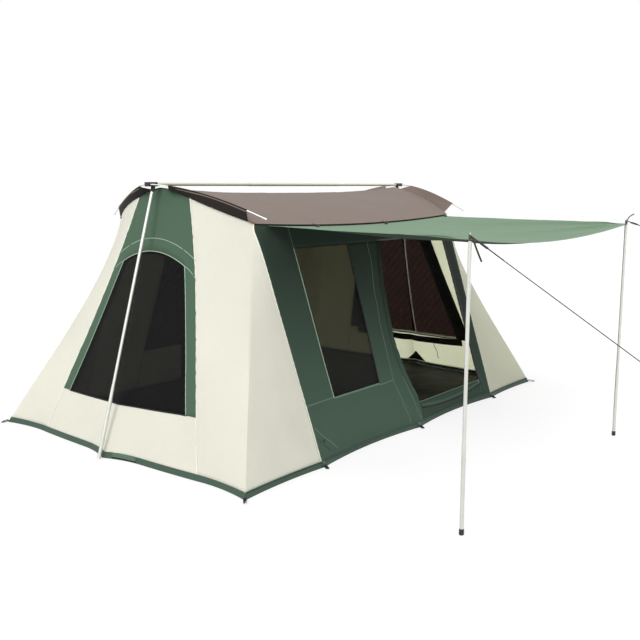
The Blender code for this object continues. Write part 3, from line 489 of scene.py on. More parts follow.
def stake_folds(across, z, reach):
    distance = hypot(across, z)
    if distance > 3 * reach:
        return 0.0
    bearing = across / max(distance, 0.02)
    return STAKE_FOLD * cos(9.0 * bearing) * exp(-(((distance - reach) / (0.7 * reach)) ** 2))


def puckers(distance, z, seed):
    if abs(distance) > 3 * PUCKER_REACH:
        return 0.0
    wave = sin(2 * pi * z / PUCKER_LENGTH + 5 * wander(z, seed, seed, 0.2))
    return PUCKER * wave * exp(-((distance / PUCKER_REACH) ** 2))


def side_relief(side, x, z):
    seed = 3.1 + side
    slack = slack_at(x, z, seed, *SIDE_SLACK_SIZES)
    for stake in STAKE_XS:
        slack += stake_folds(x - stake, z, SIDE_FOLD_REACH)
    for index, seam in enumerate(SIDE_SEAMS[side]):
        shown = smooth((z - window_foot) / 0.06) if seam in (window_left, window_right) else 1.0
        slack += shown * puckers(x - seam(z), z, seed + index)
    return slack * calm_at(crease(z)[0] - abs(x), z, side_top(x))


def end_relief(end, y, z):
    seed = 8.3 + 2 * end
    slack = slack_at(y, z, seed, *END_SLACK_SIZES) + 1.3 * stake_folds(y, z, END_FOLD_REACH)
    for sign in (-1, 1):
        slack += puckers(y - sign * end_seam_y(z), z, seed + sign)
        slack += puckers(y - sign * end_window_y(z), z, seed + 3 * sign)
    return slack * calm_at(crease(z)[1] - abs(y), z, end_top(y))


def side_cloth(side, x, z, proud=0.0):
    return side_point(side, x, z) + SIDE_NORMALS[side] * (side_relief(side, x, z) + proud)


def end_cloth(end, y, z, proud=0.0):
    return end_point(end, y, z) + END_NORMALS[end] * (end_relief(end, y, z) + proud)


# Materials


def node(tree, kind, inputs=None, **settings):
    made = tree.nodes.new(kind)
    for key, value in settings.items():
        setattr(made, key, value)
    for key, value in (inputs or {}).items():
        if isinstance(value, bpy.types.NodeSocket):
            tree.links.new(value, made.inputs[key])
        else:
            made.inputs[key].default_value = value
    return made


def new_material(name, roughness, metallic=0.0, **sockets):
    material = bpy.data.materials.new(name)
    material.use_nodes = True
    tree = material.node_tree
    shader = tree.nodes["Principled BSDF"]
    shader.inputs["Roughness"].default_value = roughness
    shader.inputs["Metallic"].default_value = metallic
    for key, value in sockets.items():
        shader.inputs[key.replace("_", " ")].default_value = value
    return material, tree, shader


def scaled(tree, vector, scale):
    return node(tree, "ShaderNodeMapping", {"Vector": vector, "Scale": scale}).outputs[0]


def noise_of(tree, vector, scale, detail=2.0):
    made = node(tree, "ShaderNodeTexNoise", {"Vector": vector, "Scale": scale, "Detail": detail})
    return made.outputs["Fac"]


def math_node(tree, operation, *values):
    return node(tree, "ShaderNodeMath", dict(enumerate(values)), operation=operation).outputs[0]


def times_plus(tree, value, times, plus):
    return math_node(tree, "MULTIPLY_ADD", value, times, plus)


def tinted(tree, colour, tone):
    return node(tree, "ShaderNodeVectorMath", {0: colour, "Scale": tone}, operation="SCALE").outputs[0]


def set_colour(tree, socket, colour):
    """Fills a colour socket from another socket or from three numbers."""
    if isinstance(colour, bpy.types.NodeSocket):
        tree.links.new(colour, socket)
    else:
        socket.default_value = (*colour, 1)


def blend(tree, share, low, high):
    mix = node(tree, "ShaderNodeMix", {"Factor": share}, data_type="RGBA")
    set_colour(tree, mix.inputs[6], low)
    set_colour(tree, mix.inputs[7], high)
    return mix.outputs[2]


def dress(tree, shader, colour, rough, height, strength, distance):
    """Gives a shader its colour, its roughness where that varies, and a fine relief."""
    tree.links.new(colour, shader.inputs["Base Color"])
    if rough is not None:
        tree.links.new(rough, shader.inputs["Roughness"])
    bump = node(tree, "ShaderNodeBump", {"Strength": strength, "Distance": distance, "Height": height})
    tree.links.new(bump.outputs[0], shader.inputs["Normal"])


def let_light_in(tree, shader, share, kind, colour):
    """Mixes in a shader that passes some light through the cloth."""
    other = node(tree, kind)
    set_colour(tree, other.inputs["Color"], colour)
    mixed = node(tree, "ShaderNodeMixShader", {0: share, 1: shader.outputs[0], 2: other.outputs[0]})
    tree.links.new(mixed.outputs[0], tree.nodes["Material Output"].inputs["Surface"])


def canvas(name, colour, through=0.22, mottle=0.10, thread=0.10, roughness=0.92, weave=0.0011, sheen=0.12,
           painted_shade_ramp=None):
    """Woven cloth: threads, slubs and faint blotches; the last argument, a painted shade, is (low, high,
    share of its tone up there): the tone falls with height from low to high.
    """
    material, tree, shader = new_material(name, roughness, Sheen_Weight=sheen, Specular_IOR_Level=0.25)
    uv = node(tree, "ShaderNodeUVMap").outputs[0]
    place = node(tree, "ShaderNodeTexCoord").outputs["Object"]
    warp = noise_of(tree, scaled(tree, uv, (1 / weave, 14.0, 1.0)), 1.0)
    weft = noise_of(tree, scaled(tree, uv, (14.0, 1 / weave, 1.0)), 1.0)
    slub = noise_of(tree, scaled(tree, uv, (16.0, 260.0, 1.0)), 1.0, 1.0)
    cloud = noise_of(tree, place, 1.7, 4.0)
    speck = noise_of(tree, place, 70.0, 2.0)
    tone = 1 - thread - 0.5 * mottle - 0.03
    for pattern, weight in ((warp, thread), (weft, thread), (cloud, mottle), (speck, 0.05), (slub, 0.04)):
        tone = times_plus(tree, pattern, weight, tone)
    # painted shade: where the last argument is given, the tone falls with height from low to high, so the
    # cloth is darker towards its top
    if painted_shade_ramp:
        low, high, share = painted_shade_ramp
        height = node(tree, "ShaderNodeSeparateXYZ", {0: place}).outputs[2]
        drop = node(tree, "ShaderNodeMapRange", {0: height, 1: low, 2: high, 3: 1.0, 4: share}).outputs[0]
        tone = math_node(tree, "MULTIPLY", tone, drop)
    shade = tinted(tree, colour, tone)
    relief = times_plus(tree, warp, 0.5, times_plus(tree, weft, 0.5, slub))
    dress(tree, shader, shade, times_plus(tree, cloud, 0.12, roughness - 0.06), relief, 0.35, 0.0006)
    if through:
        let_light_in(tree, shader, through, "ShaderNodeBsdfTranslucent", shade)
    return material


def screen(name, dark, light, through, tint):
    """Insect mesh: near black, finely gridded, with broad soft bands where its threads beat."""
    material, tree, shader = new_material(name, 0.6, Specular_IOR_Level=0.1)
    uv = node(tree, "ShaderNodeUVMap").outputs[0]
    bands = node(
        tree, "ShaderNodeTexWave", {"Vector": uv, "Scale": 7.5, "Distortion": 1.2, "Detail": 2.0},
        bands_direction="DIAGONAL", wave_profile="SIN",
    ).outputs["Fac"]
    grid = node(tree, "ShaderNodeTexVoronoi", {"Vector": uv, "Scale": 620.0}).outputs["Distance"]
    cloud = noise_of(tree, uv, 2.5, 3.0)
    share = times_plus(tree, bands, 0.45, times_plus(tree, cloud, 0.7, times_plus(tree, grid, 0.3, -0.35)))
    dress(tree, shader, blend(tree, share, dark, light), None, grid, 0.3, 0.0004)
    let_light_in(tree, shader, through, "ShaderNodeBsdfTransparent", tint)
    return material


def coated(name, colour, roughness, crinkle, shine=0.4):
    """Coated sheet: smooth, with crinkles that catch the light; painted shade makes its colour darker in
    the hollows of the crinkles and lighter on their ridges.
    """
    material, tree, shader = new_material(name, roughness, Specular_IOR_Level=shine)
    place = node(tree, "ShaderNodeTexCoord").outputs["Object"]
    fine = noise_of(tree, place, 38.0, 6.0)
    broad = noise_of(tree, place, 5.0, 5.0)
    # painted shade and highlight: the tone follows the same noise as the crinkles' relief
    shade = tinted(tree, colour, times_plus(tree, fine, 0.25, times_plus(tree, broad, 0.35, 0.70)))
    relief = times_plus(tree, broad, 1.0, times_plus(tree, fine, 0.3, 0.0))
    dress(tree, shader, shade, times_plus(tree, broad, 0.3, roughness - 0.15), relief, crinkle, 0.006)
    return material


def metal(name, colour, roughness, metallic=0.9, spangle=0.10, scale=55.0):
    """Coated or painted metal, or a dull moulding, with flakes and a faint cloudiness."""
    material, tree, shader = new_material(name, roughness, metallic)
    place = node(tree, "ShaderNodeTexCoord").outputs["Object"]
    cells = node(tree, "ShaderNodeTexVoronoi", {"Vector": place, "Scale": scale}).outputs["Color"]
    flake = node(tree, "ShaderNodeRGBToBW", {0: cells}).outputs[0]
    cloud = noise_of(tree, place, 9.0, 4.0)
    tone = times_plus(tree, flake, spangle, times_plus(tree, cloud, 0.14, 0.93 - 0.5 * spangle))
    rough = times_plus(tree, flake, 0.10, times_plus(tree, cloud, 0.16, roughness - 0.12))
    dress(tree, shader, tinted(tree, colour, tone), rough, cloud, 0.15, 0.0004)
    return material


def braid(name, colour, light):
    """Braided cord, with a lighter tracer thread."""
    material, tree, shader = new_material(name, 0.85, Sheen_Weight=0.1)
    uv = node(tree, "ShaderNodeTexCoord").outputs["UV"]
    wave = node(
        tree, "ShaderNodeTexWave", {"Vector": scaled(tree, uv, (260.0, 6.3, 1.0)), "Scale": 1.0},
        bands_direction="DIAGONAL",
    ).outputs["Fac"]
    dress(tree, shader, blend(tree, wave, colour, light), None, wave, 0.5, 0.0012)
    return material


STITCH_EDGE_SHARE = 0.36
STITCH_HALF_WIDTH = 0.0007
STITCH_PITCH = 0.0045
STITCH_LENGTH = 0.0031


def stitched(name, colour, thread_colour, width):
    """A sewn tape with a row of stitches along each edge, on UVs in metres."""
    material, tree, shader = new_material(name, 0.9, Sheen_Weight=0.1, Specular_IOR_Level=0.25)
    uv = node(tree, "ShaderNodeUVMap").outputs[0]
    parts = node(tree, "ShaderNodeSeparateXYZ", {0: uv})
    away = math_node(tree, "ABSOLUTE", parts.outputs[1])
    beside = math_node(tree, "ABSOLUTE", math_node(tree, "SUBTRACT", away, STITCH_EDGE_SHARE * width))
    near = math_node(tree, "LESS_THAN", beside, STITCH_HALF_WIDTH)
    along = math_node(tree, "MODULO", parts.outputs[0], STITCH_PITCH)
    dash = math_node(tree, "LESS_THAN", along, STITCH_LENGTH)
    stitch = math_node(tree, "MULTIPLY", near, dash)
    weave = noise_of(tree, scaled(tree, uv, (900.0, 900.0, 1.0)), 1.0, 1.0)
    shade = blend(tree, stitch, tinted(tree, colour, times_plus(tree, weave, 0.2, 0.9)), thread_colour)
    dress(tree, shader, shade, None, times_plus(tree, stitch, 1.0, weave), 0.4, 0.0005)
    return material


CREAM_COLOUR = (0.900, 0.893, 0.808)
# painted shade: the front wall's green is a darker copy of the green canvas's colour, as under the awning
SHADED_FRONT_GREEN_COLOUR = (0.057, 0.101, 0.070)
TAUPE_COLOUR = (0.174, 0.130, 0.108)

CREAM = canvas("cream_cloth", CREAM_COLOUR, through=0.42)
# painted light: a lighter, greener copy of the cream for the inside faces of the far end, its corners and
# the back wall, which stands in for light inside the tent; it also lets more light through
LIGHTENED_INSIDE_CREAM = canvas("lightened_inside_cream_cloth", (0.94, 0.975, 0.80), through=0.66, mottle=0.16)
FAR_CREAM = canvas("far_cream_cloth", CREAM_COLOUR, through=0.60)
LIT_CREAM = (FAR_CREAM, LIGHTENED_INSIDE_CREAM)
GREEN = canvas("green_cloth", (0.073, 0.129, 0.084), through=0.10, sheen=0.05)
# painted shade: the front wall's green also falls to 0.40 of its tone from 0.30 m up to 1.45 m, where the
# awning shades it
SHADED_FRONT_GREEN = canvas(
    "shaded_front_green_cloth", SHADED_FRONT_GREEN_COLOUR, through=0.06, sheen=0.03, painted_shade_ramp=(0.30, 1.45, 0.40),
)
# painted shade: the strip right of the door is a still darker copy of the green canvas, and falls to 0.40
# of its tone from 0.10 m up to 0.80 m, as in the awning's shade
SHADED_SIDE_GREEN = canvas(
    "shaded_door_side_cloth", (0.037, 0.066, 0.046), through=0.06, sheen=0.02, painted_shade_ramp=(0.10, 0.80, 0.40),
)
SILL_GREEN = canvas("door_sill_cloth", (0.034, 0.063, 0.043), through=0.06, sheen=0.02)
FRAME_INSIDE = canvas("frame_inside_cloth", (0.012, 0.013, 0.012), through=0.0, sheen=0.02)
TAUPE = canvas("roof_cloth", TAUPE_COLOUR, through=0.06, roughness=0.8)
BROWN = canvas("roof_underside", (0.017, 0.014, 0.012), through=0.0, sheen=0.0)
AWNING_GREEN = canvas("awning_cloth", (0.133, 0.230, 0.136), through=0.05, mottle=0.24, thread=0.16)
AWNING_UNDER = canvas("awning_underside", (0.030, 0.046, 0.033), through=0.05, sheen=0.0)
MESH_NEAR = screen("window_mesh", (0.002, 0.002, 0.002), (0.007, 0.007, 0.008), 0.145, (1.0, 0.98, 0.95))
MESH_FRONT = screen(
    "front_window_mesh", (0.002, 0.002, 0.001), (0.006, 0.006, 0.004), 0.225, (1.0, 0.99, 0.84),
)
# painted light: the inside face of the far end's and back wall's screens has much lighter, reddish bands
# than the other screens, which stand in for light inside the tent
MESH_FAR = screen("shaded_mesh", (0.003, 0.002, 0.002), (0.058, 0.027, 0.022), 0.11, (1.0, 0.72, 0.66))
MESH_OUTSIDE = screen(
    "far_window_mesh", (0.004, 0.004, 0.004), (0.012, 0.012, 0.013), 0.11, (1.0, 0.80, 0.76),
)
SHADED_MESH = (MESH_OUTSIDE, MESH_FAR)
FLOOR = coated("floor_sheet", (0.012, 0.010, 0.008), 0.55, 1.0, 0.16)
HEM = coated("hem_sheet", (0.044, 0.084, 0.057), 0.6, 0.25)
STEEL = metal("pole_steel", (0.70, 0.715, 0.66), 0.40, spangle=0.05)
RIDGE_STEEL = metal("ridge_steel", (0.50, 0.52, 0.40), 0.50, metallic=0.6, spangle=0.05)
BLACK_STEEL = metal("bracket_black", (0.012, 0.012, 0.012), 0.45, 0.0, 0.3)
ZIP_METAL = metal("zip_runner", (0.16, 0.16, 0.16), 0.4)
PLASTIC = metal("slider_moulding", (0.018, 0.018, 0.018), 0.5, 0.0, 0.2, 300.0)
ROPE = braid("rope_braid", (0.020, 0.018, 0.016), (0.060, 0.045, 0.038))
RED_ROPE = braid("red_rope_braid", (0.110, 0.030, 0.022), (0.170, 0.070, 0.050))
BLACK_TAPE = stitched("black_webbing", (0.010, 0.010, 0.011), (0.05, 0.05, 0.05), 0.024)
CREAM_SEAM = stitched("cream_seam", (0.93, 0.93, 0.80), (0.80, 0.79, 0.66), 0.014)
GREEN_SEAM = stitched("green_seam", (0.100, 0.170, 0.120), (0.24, 0.34, 0.25), 0.014)
TAUPE_SEAM = stitched("roof_seam", TAUPE_COLOUR, (0.40, 0.34, 0.30), 0.014)
PALE_BINDING = stitched("pale_binding", (0.33, 0.45, 0.34), (0.50, 0.60, 0.50), 0.016)
AWNING_SEAM = stitched("awning_seam", (0.165, 0.272, 0.172), (0.35, 0.45, 0.35), 0.024)
HEM_SEAM = stitched("hem_seam", (0.026, 0.048, 0.034), (0.06, 0.10, 0.07), 0.012)
HEM_TAB = stitched("hem_tab", (0.085, 0.140, 0.100), (0.22, 0.30, 0.24), 0.024)


def finish_of(name):
    """The finish of a solid that stays in view."""
    if "bracket" in name:
        return BLACK_STEEL
    if name.startswith("guy_slider"):
        return PLASTIC
    if name == "door_zip_slider":
        return ZIP_METAL
    return RIDGE_STEEL if name.startswith("ridge_") and "button" not in name else STEEL


for name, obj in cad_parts.items():
    for material_slot in obj.material_slots:
        material_slot.material = finish_of(name)
for rope in ropes:
    rope.data.materials.append(ROPE)

# Ways of making a piece

SHARP_ANGLE = radians(50)
CLOTH_SHOWN = 0.0016
MESH_THICKNESS = 0.0008
STRIP_SHARE = 0.4


def mesh_piece(name, verts, faces, uvs, materials, slot_name, body="tent"):
    mesh = bpy.data.meshes.new(name)
    mesh.from_pydata(verts, [], faces)
    if uvs:
        layer = mesh.uv_layers.new(name="UVMap")
        for loop in mesh.loops:
            layer.data[loop.index].uv = uvs[loop.vertex_index]
    mesh.shade_smooth()
    mesh.set_sharp_from_angle(angle=SHARP_ANGLE)
    for material in materials:
        mesh.materials.append(material)
    obj = link(name, mesh)
    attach(obj, body)
    return obj


def cloth_piece(name, place, us, vs, materials, slot_name, outward, axes, nodes=(),
                thickness=CLOTH_SHOWN, holes=()):
    """A panel: a grid bent to its surface and given the cloth's thickness.

    axes are the two plan axes that its flat size is read along, or a function that lays it flat.
    """
    verts = [place(u, v) for v in vs for u in us]
    wide = len(us)
    faces = [
        (row * wide + k, row * wide + k + 1, (row + 1) * wide + k + 1, (row + 1) * wide + k)
        for row in range(len(vs) - 1) for k in range(wide - 1) if (row, k) not in holes
    ]
    if callable(axes):
        uvs = [axes(u, v, place(u, v)) for v in vs for u in us]
    else:
        uvs = [(p[axes[0]], p[axes[1]]) for p in verts]
    obj = mesh_piece(name, verts, faces, uvs, materials, slot_name)
    area = sum(face.area for face in obj.data.polygons)
    if sum(face.normal.dot(Vector(outward)) * face.area for face in obj.data.polygons) < 0:
        obj.data.flip_normals()
    solidify = obj.modifiers.new("thickness", "SOLIDIFY")
    solidify.thickness = thickness
    solidify.offset = 0.0
    solidify.material_offset = len(materials) - 1
    if nodes:
        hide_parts(*nodes)
    spans = [max(uv[k] for uv in uvs) - min(uv[k] for uv in uvs) for k in (0, 1)]
    if area < STRIP_SHARE * spans[0] * spans[1]:
        spans = [spans[0] + 2 * spans[1], area / (spans[0] + 2 * spans[1])]
    return obj


def small_uvs(verts, columns, rise=0.001):
    """UVs for small hardware: a grid with a millimetre between columns."""
    return [(0.001 * (index % columns), rise * (index // columns)) for index in range(len(verts))]


def ring_piece(name, centre, axis, radius, wire, material, slot_name, sides=28, ring=10):
    """A round-section ring lying square to axis."""
    spin = Vector(axis).normalized().to_track_quat("Z", "Y").to_matrix()
    verts, faces = [], []
    for k in range(sides):
        angle = 2 * pi * k / sides
        for j in range(ring):
            turned = 2 * pi * j / ring
            reach = radius + wire * cos(turned)
            place = Vector((reach * cos(angle), reach * sin(angle), wire * sin(turned)))
            verts.append(Vector(centre) + spin @ place)
    for k in range(sides):
        for j in range(ring):
            a, b = k * ring + j, k * ring + (j + 1) % ring
            c, d = ((k + 1) % sides) * ring + (j + 1) % ring, ((k + 1) % sides) * ring + j
            faces.append((a, d, c, b))
    return mesh_piece(name, verts, faces, small_uvs(verts, 97), (material,), slot_name)


# Tapes: strips sewn on the cloth, each outline as (share of the width, share of the rise)

TAPE_PROFILE = ((-0.5, -0.5), (-0.46, 0.7), (-0.2, 1.0), (0.2, 1.0), (0.46, 0.7), (0.5, -0.5))
FLUSH_PROFILE = ((-0.5, -0.6), (-0.28, 0.7), (0.0, 1.0), (0.28, 0.7), (0.5, -0.6))
TAPE_LIFT = 0.0008
NORMAL_STEP = 0.004
TENT_MIDDLE = Vector((0.03, 0, 0.9))
tapes = {}


def add_strip(key, points, normals, width, rise, lift=TAPE_LIFT, profile=TAPE_PROFILE):
    """Adds a closed strip along points to the tapes of one material, flat side down on the cloth."""
    verts, faces, uvs = tapes.setdefault(key, ([], [], []))
    start = len(verts)
    ring = len(profile)
    run = 0.0
    for index, (point, normal) in enumerate(zip(points, normals)):
        before = points[max(index - 1, 0)]
        after = points[min(index + 1, len(points) - 1)]
        if index:
            run += (point - before).length
        across = (after - before).cross(normal).normalized()
        broad = width[index] if isinstance(width, list) else width
        for share, height in profile:
            verts.append(point + across * share * broad + normal * (lift + height * rise))
            uvs.append((run, share * broad))
    for row in range(len(points) - 1):
        for k in range(ring):
            j = (k + 1) % ring
            a = start + row * ring
            faces.append((a + k, a + j, a + ring + j, a + ring + k))
    faces.append(tuple(start + k for k in reversed(range(ring))))
    faces.append(tuple(start + (len(points) - 1) * ring + k for k in range(ring)))


def tape(key, surface, path, width, rise=0.0010, inside=False, lift=TAPE_LIFT, profile=TAPE_PROFILE):
    """A strip sewn along a path of (a, b) places on a surface."""
    points, normals = [], []
    for a, b in path:
        point = surface(a, b)
        along_a, along_b = surface(a + NORMAL_STEP, b) - point, surface(a, b + NORMAL_STEP) - point
        normal = along_a.cross(along_b).normalized()
        if normal.dot(point - TENT_MIDDLE) < 0:
            normal.negate()
        points.append(point)
        normals.append(-normal if inside else normal)
    add_strip(key, points, normals, width, rise, lift, profile)


def straight(start, stop, count):
    return [(lerp(start[0], stop[0], share), lerp(start[1], stop[1], share)) for share in even(count)]


def along_z(edge, low, high, count=60):
    return [(edge(z), z) for z in spread(low, high, count)]


def along_x(left, right, height, count=60):
    """A path from left to right, at one height or at a height worked out from the share of the way."""
    if not callable(height):
        return [(x, height) for x in spread(left, right, count)]
    return [(lerp(left, right, share), height(share)) for share in even(count)]


# Corner panels

WALL_FOOT = HEM_HEIGHT - 0.009
CORNER_FLAT = (1.90, 1.07)
panel_tops = {}


def top_at(share):
    if share not in panel_tops:
        panel_tops[share] = end_panel_top(share)
    return panel_tops[share]


def corner_place(end, side, u, v):
    if u <= 0.5:
        share = u / 0.5
        z = lerp(WALL_FOOT, top_at(share), v)
        return end_cloth(end, side * lerp(end_seam_y(z), crease(z)[1], share), z)
    share = (u - 0.5) / 0.5
    z = lerp(WALL_FOOT, lerp(top_at(1.0), side_top(SIDE_SEAM_TOP_X), share), v)
    x = lerp(crease(z)[0], seam_line(z, end), share)
    return side_cloth(side, end * x, z)


END_CREAMS = {-1: (CREAM,), 1: LIT_CREAM}
for end_name, end in ENDS.items():
    for side_name, side in SIDES.items():
        node_name = end_name + "_" + side_name + "_corner"
        cloth_piece(
            node_name + "_cloth", partial(corner_place, end, side), even(64), even(56), END_CREAMS[end],
            "cream_canvas", (end, side, 0), lambda u, v, p: (u * CORNER_FLAT[0], p.z * CORNER_FLAT[1]),
            (node_name,),
        )

# End walls

SCREEN_SET_BACK = 0.0020
SCREEN_SLACK = 0.010
BINDING_WIDTH = 0.0065
BINDING_RISE = 0.0014
ARCH_SEAM_RISE = 0.100
ARCH_SEAM_FALL = 0.55
ARCH_SEAM_WIDTH = 0.0050
ARCH_SEAM_THICKNESS = 0.0012
BRANCH_START = (0.372, 1.438)
BRANCH_END_HEIGHT = 1.360
BRANCH_FALL = 0.050
BRANCH_CURVE = 0.028
INSIDE_BORDER = 0.058
INSIDE_ARCH_BORDER = 0.050
INSIDE_SHIFT = 0.024
INSIDE_LIFT = 0.0072
END_MESHES = {-1: (MESH_NEAR,), 1: SHADED_MESH}


def end_frame_place(end, u, v):
    seam_top = top_at(0.0)
    if abs(u) > 1:
        side = 1 if u > 0 else -1
        share = 2 - abs(u)
        foot = sill_height(end, side * END_WINDOW_FOOT_Y)
        inner_z = lerp(foot, END_WINDOW_SPRING_HEIGHT, share)
        outer_z = lerp(foot, seam_top, share)
        inner_y = side * end_window_y(inner_z)
        outer_y = side * end_seam_y(outer_z)
    else:
        inner_y = u * END_WINDOW_SPRING_Y
        inner_z = end_arch_height(u)
        outer_y = u * end_seam_y(seam_top)
        outer_z = end_top(outer_y)
    return end_cloth(end, lerp(inner_y, outer_y, v), lerp(inner_z, outer_z, v))


def sill_place(end, u, v):
    z = lerp(WALL_FOOT, sill_height(end, u * END_WINDOW_FOOT_Y), v)
    return end_cloth(end, u * end_seam_y(z), z)


def screen_place(end, u, v):
    foot = sill_height(end, u * END_WINDOW_FOOT_Y)
    z = lerp(foot, end_arch_height(u), v)
    flat_z = lerp(foot, END_WINDOW_SPRING_HEIGHT, v)
    y = u * end_window_y(flat_z)
    slack = 4 * v * (1 - v) * (1 - u * u)
    drape = -SCREEN_SLACK * slack + 0.004 * slack * wander(y, z, 5.0 + end, 0.16)
    return end_cloth(end, y, z, drape - SCREEN_SET_BACK)


def screen_at(end, y, z):
    v = clamp01((z - END_SILL_HEIGHT) / (end_arch_height(0.0) - END_SILL_HEIGHT))
    return screen_place(end, y / end_window_y(z), v)


# What shows through the door on the far wall: the window's border and pale flap, a bar, a patch and a tie

WINDOW_FLAP = {"width": 0.075, "rise": 0.0014, "lift": 0.0050}
WINDOW_FLAP_DROP = 0.030
WINDOW_FLAP_BOW = 0.022
PALE_STRIP = {"width": 0.022, "rise": 0.0012, "lift": 0.0100}
PALE_STRIP_SHARE = 0.90
PALE_STRIP_RAISE = 0.022
BAR_Y = -0.100
BAR_HEIGHTS = (END_SILL_HEIGHT + 0.02, END_WINDOW_SPRING_HEIGHT + 0.05)
BAR_WIDTH = 0.014
PATCH_Y = -0.045
PATCH_HALF_WIDTHS = (0.125, 0.004)
PATCH_HEIGHTS = (0.048, 0.158)
PATCH_SET_BACK = 0.0032
TIE_START = (-0.330, 0.300)
TIE_STEP = (-0.050, -0.180)
TIE = {"width": 0.0055, "rise": 0.0022, "lift": 0.0080}


def patch_place(end, u, v):
    half_width = lerp(*PATCH_HALF_WIDTHS, v)
    return end_cloth(end, PATCH_Y + u * half_width, lerp(*PATCH_HEIGHTS, v), -PATCH_SET_BACK)


def inside_trims(end, surface, sill_edge):
    half = sill_edge[-1][0]
    flap = [(y, z - WINDOW_FLAP_DROP - WINDOW_FLAP_BOW * (1 - (y / half) ** 2)) for y, z in sill_edge]
    tape("black_tapes", surface, flap, inside=True, **WINDOW_FLAP)
    strip = [(y * PALE_STRIP_SHARE, z + PALE_STRIP_RAISE) for y, z in sill_edge]
    tape("pale_tapes", surface, strip, inside=True, **PALE_STRIP)
    bar = along_z(upright_edge(BAR_Y), *BAR_HEIGHTS)
    tape("pale_tapes", partial(screen_at, end), bar, BAR_WIDTH, 0.0012, inside=True)
    cloth_piece(
        "pole_patch_cloth", partial(patch_place, end), spread(-1.0, 1.0, 24), even(14), (FRAME_INSIDE,),
        "black_mesh", (end, 0, 0), (1, 2), thickness=0.0014,
    )
    tie = [
        (TIE_START[0] + TIE_STEP[0] * share + 0.006 * sin(9 * share), TIE_START[1] + TIE_STEP[1] * share)
        for share in even(30)
    ]
    tape("black_tapes", surface, tie, inside=True, **TIE)


def end_trims(end, surface, arch):
    """Seams and bindings of an end wall, outside, and the window's black border, inside."""
    spring_y = end_seam_y(END_WINDOW_SPRING_HEIGHT) - 0.004
    for sign in (-1, 1):
        seam = [(sign * y, z) for y, z in along_z(end_seam_y, WALL_FOOT, top_at(0.0) - 0.002)]
        tape("cream_seams", surface, seam, 0.005)
        foot = sill_height(end, sign * END_WINDOW_FOOT_Y)
        edge = [(sign * y, z) for y, z in along_z(end_window_y, foot, END_WINDOW_SPRING_HEIGHT)]
        tape("pale_bindings", surface, edge, BINDING_WIDTH, BINDING_RISE)
        border = [(y - sign * INSIDE_SHIFT, z) for y, z in edge]
        tape("black_tapes", surface, border, INSIDE_BORDER, inside=True, lift=INSIDE_LIFT)
    window_arch = [(u * END_WINDOW_SPRING_Y, end_arch_height(u)) for u in arch]
    tape("pale_bindings", surface, window_arch, BINDING_WIDTH, BINDING_RISE)
    tape("black_tapes", surface, window_arch, INSIDE_ARCH_BORDER, inside=True, lift=INSIDE_LIFT)
    outer = [
        (u * spring_y, end_arch_height(u) + ARCH_SEAM_RISE * (1 - ARCH_SEAM_FALL * u * u)) for u in arch
    ]
    tape("pale_bindings", surface, outer, ARCH_SEAM_WIDTH, ARCH_SEAM_THICKNESS)
    start_y, start_z = BRANCH_START
    branch_y = end_seam_y(BRANCH_END_HEIGHT) - 0.004
    for sign in (-1, 1):
        branch = [
            (sign * lerp(start_y, branch_y, share), start_z - (BRANCH_FALL + BRANCH_CURVE * share) * share)
            for share in even(20)
        ]
        tape("pale_bindings", surface, branch, ARCH_SEAM_WIDTH, ARCH_SEAM_THICKNESS)
    sill_edge = [(u * end_window_y(END_SILL_HEIGHT), sill_height(end, u * END_WINDOW_FOOT_Y)) for u in arch]
    tape("black_tapes", surface, sill_edge, 0.012)
    if end > 0:
        inside_trims(end, surface, sill_edge)


legs = spread(-2, -1, 40)
arch = spread(-1.0, 1.0, 44)
wide = spread(-1.0, 1.0, 84)
frame_us = legs + arch[1:-1] + [-u for u in reversed(legs)]
for end_name, end in ENDS.items():
    outward = (end, 0, 0)
    node_name = end_name + "_end_"
    cloth_piece(
        node_name + "frame_cloth", partial(end_frame_place, end), frame_us, even(8), (GREEN, FRAME_INSIDE),
        "green_canvas", outward, (1, 2), (node_name + "frame",),
    )
    cloth_piece(
        node_name + "sill_cloth", partial(sill_place, end), wide, even(16), END_CREAMS[end], "cream_canvas",
        outward, (1, 2), (node_name + "sill",),
    )
    cloth_piece(
        node_name + "mesh", partial(screen_place, end), arch, even(44), END_MESHES[end], "black_mesh",
        outward, (1, 2), (node_name + "screen",), thickness=MESH_THICKNESS,
    )
    end_trims(end, partial(end_cloth, end), arch)

# Front and back walls

PANEL_CELL = 0.022
MESH_SLACK = 0.012


def panel(name, side, edges, heights, materials, slot_name, thickness=CLOTH_SHOWN, slack=0.0):
    """A wall panel between two edges; one that starts at the hem is tucked behind it."""
    left, right = edges
    bottom, top = heights
    foot = WALL_FOOT if bottom == HEM_HEIGHT else bottom

    def place(u, v):
        high = top(u) if callable(top) else top
        z = lerp(foot, high, v)
        x = lerp(left(z), right(z), u)
        bow = slack * 16 * u * (1 - u) * v * (1 - v) * (1 + 0.5 * wander(x, z, 4.0, 0.2))
        return side_cloth(side, x, z, -bow - (SCREEN_SET_BACK if slack else 0.0))

    high = top(0.5) if callable(top) else top
    columns = max(4, round(abs(right(foot) - left(foot)) / PANEL_CELL))
    rows = max(3, round((high - foot) / PANEL_CELL))
    return cloth_piece(
        name + "_cloth", place, even(columns), even(rows), materials, slot_name, (0, side, 0), (0, 2),
        (name,), thickness=thickness,
    )


def under_roof(left, right):
    return lambda share: side_top(lerp(left, right, share))


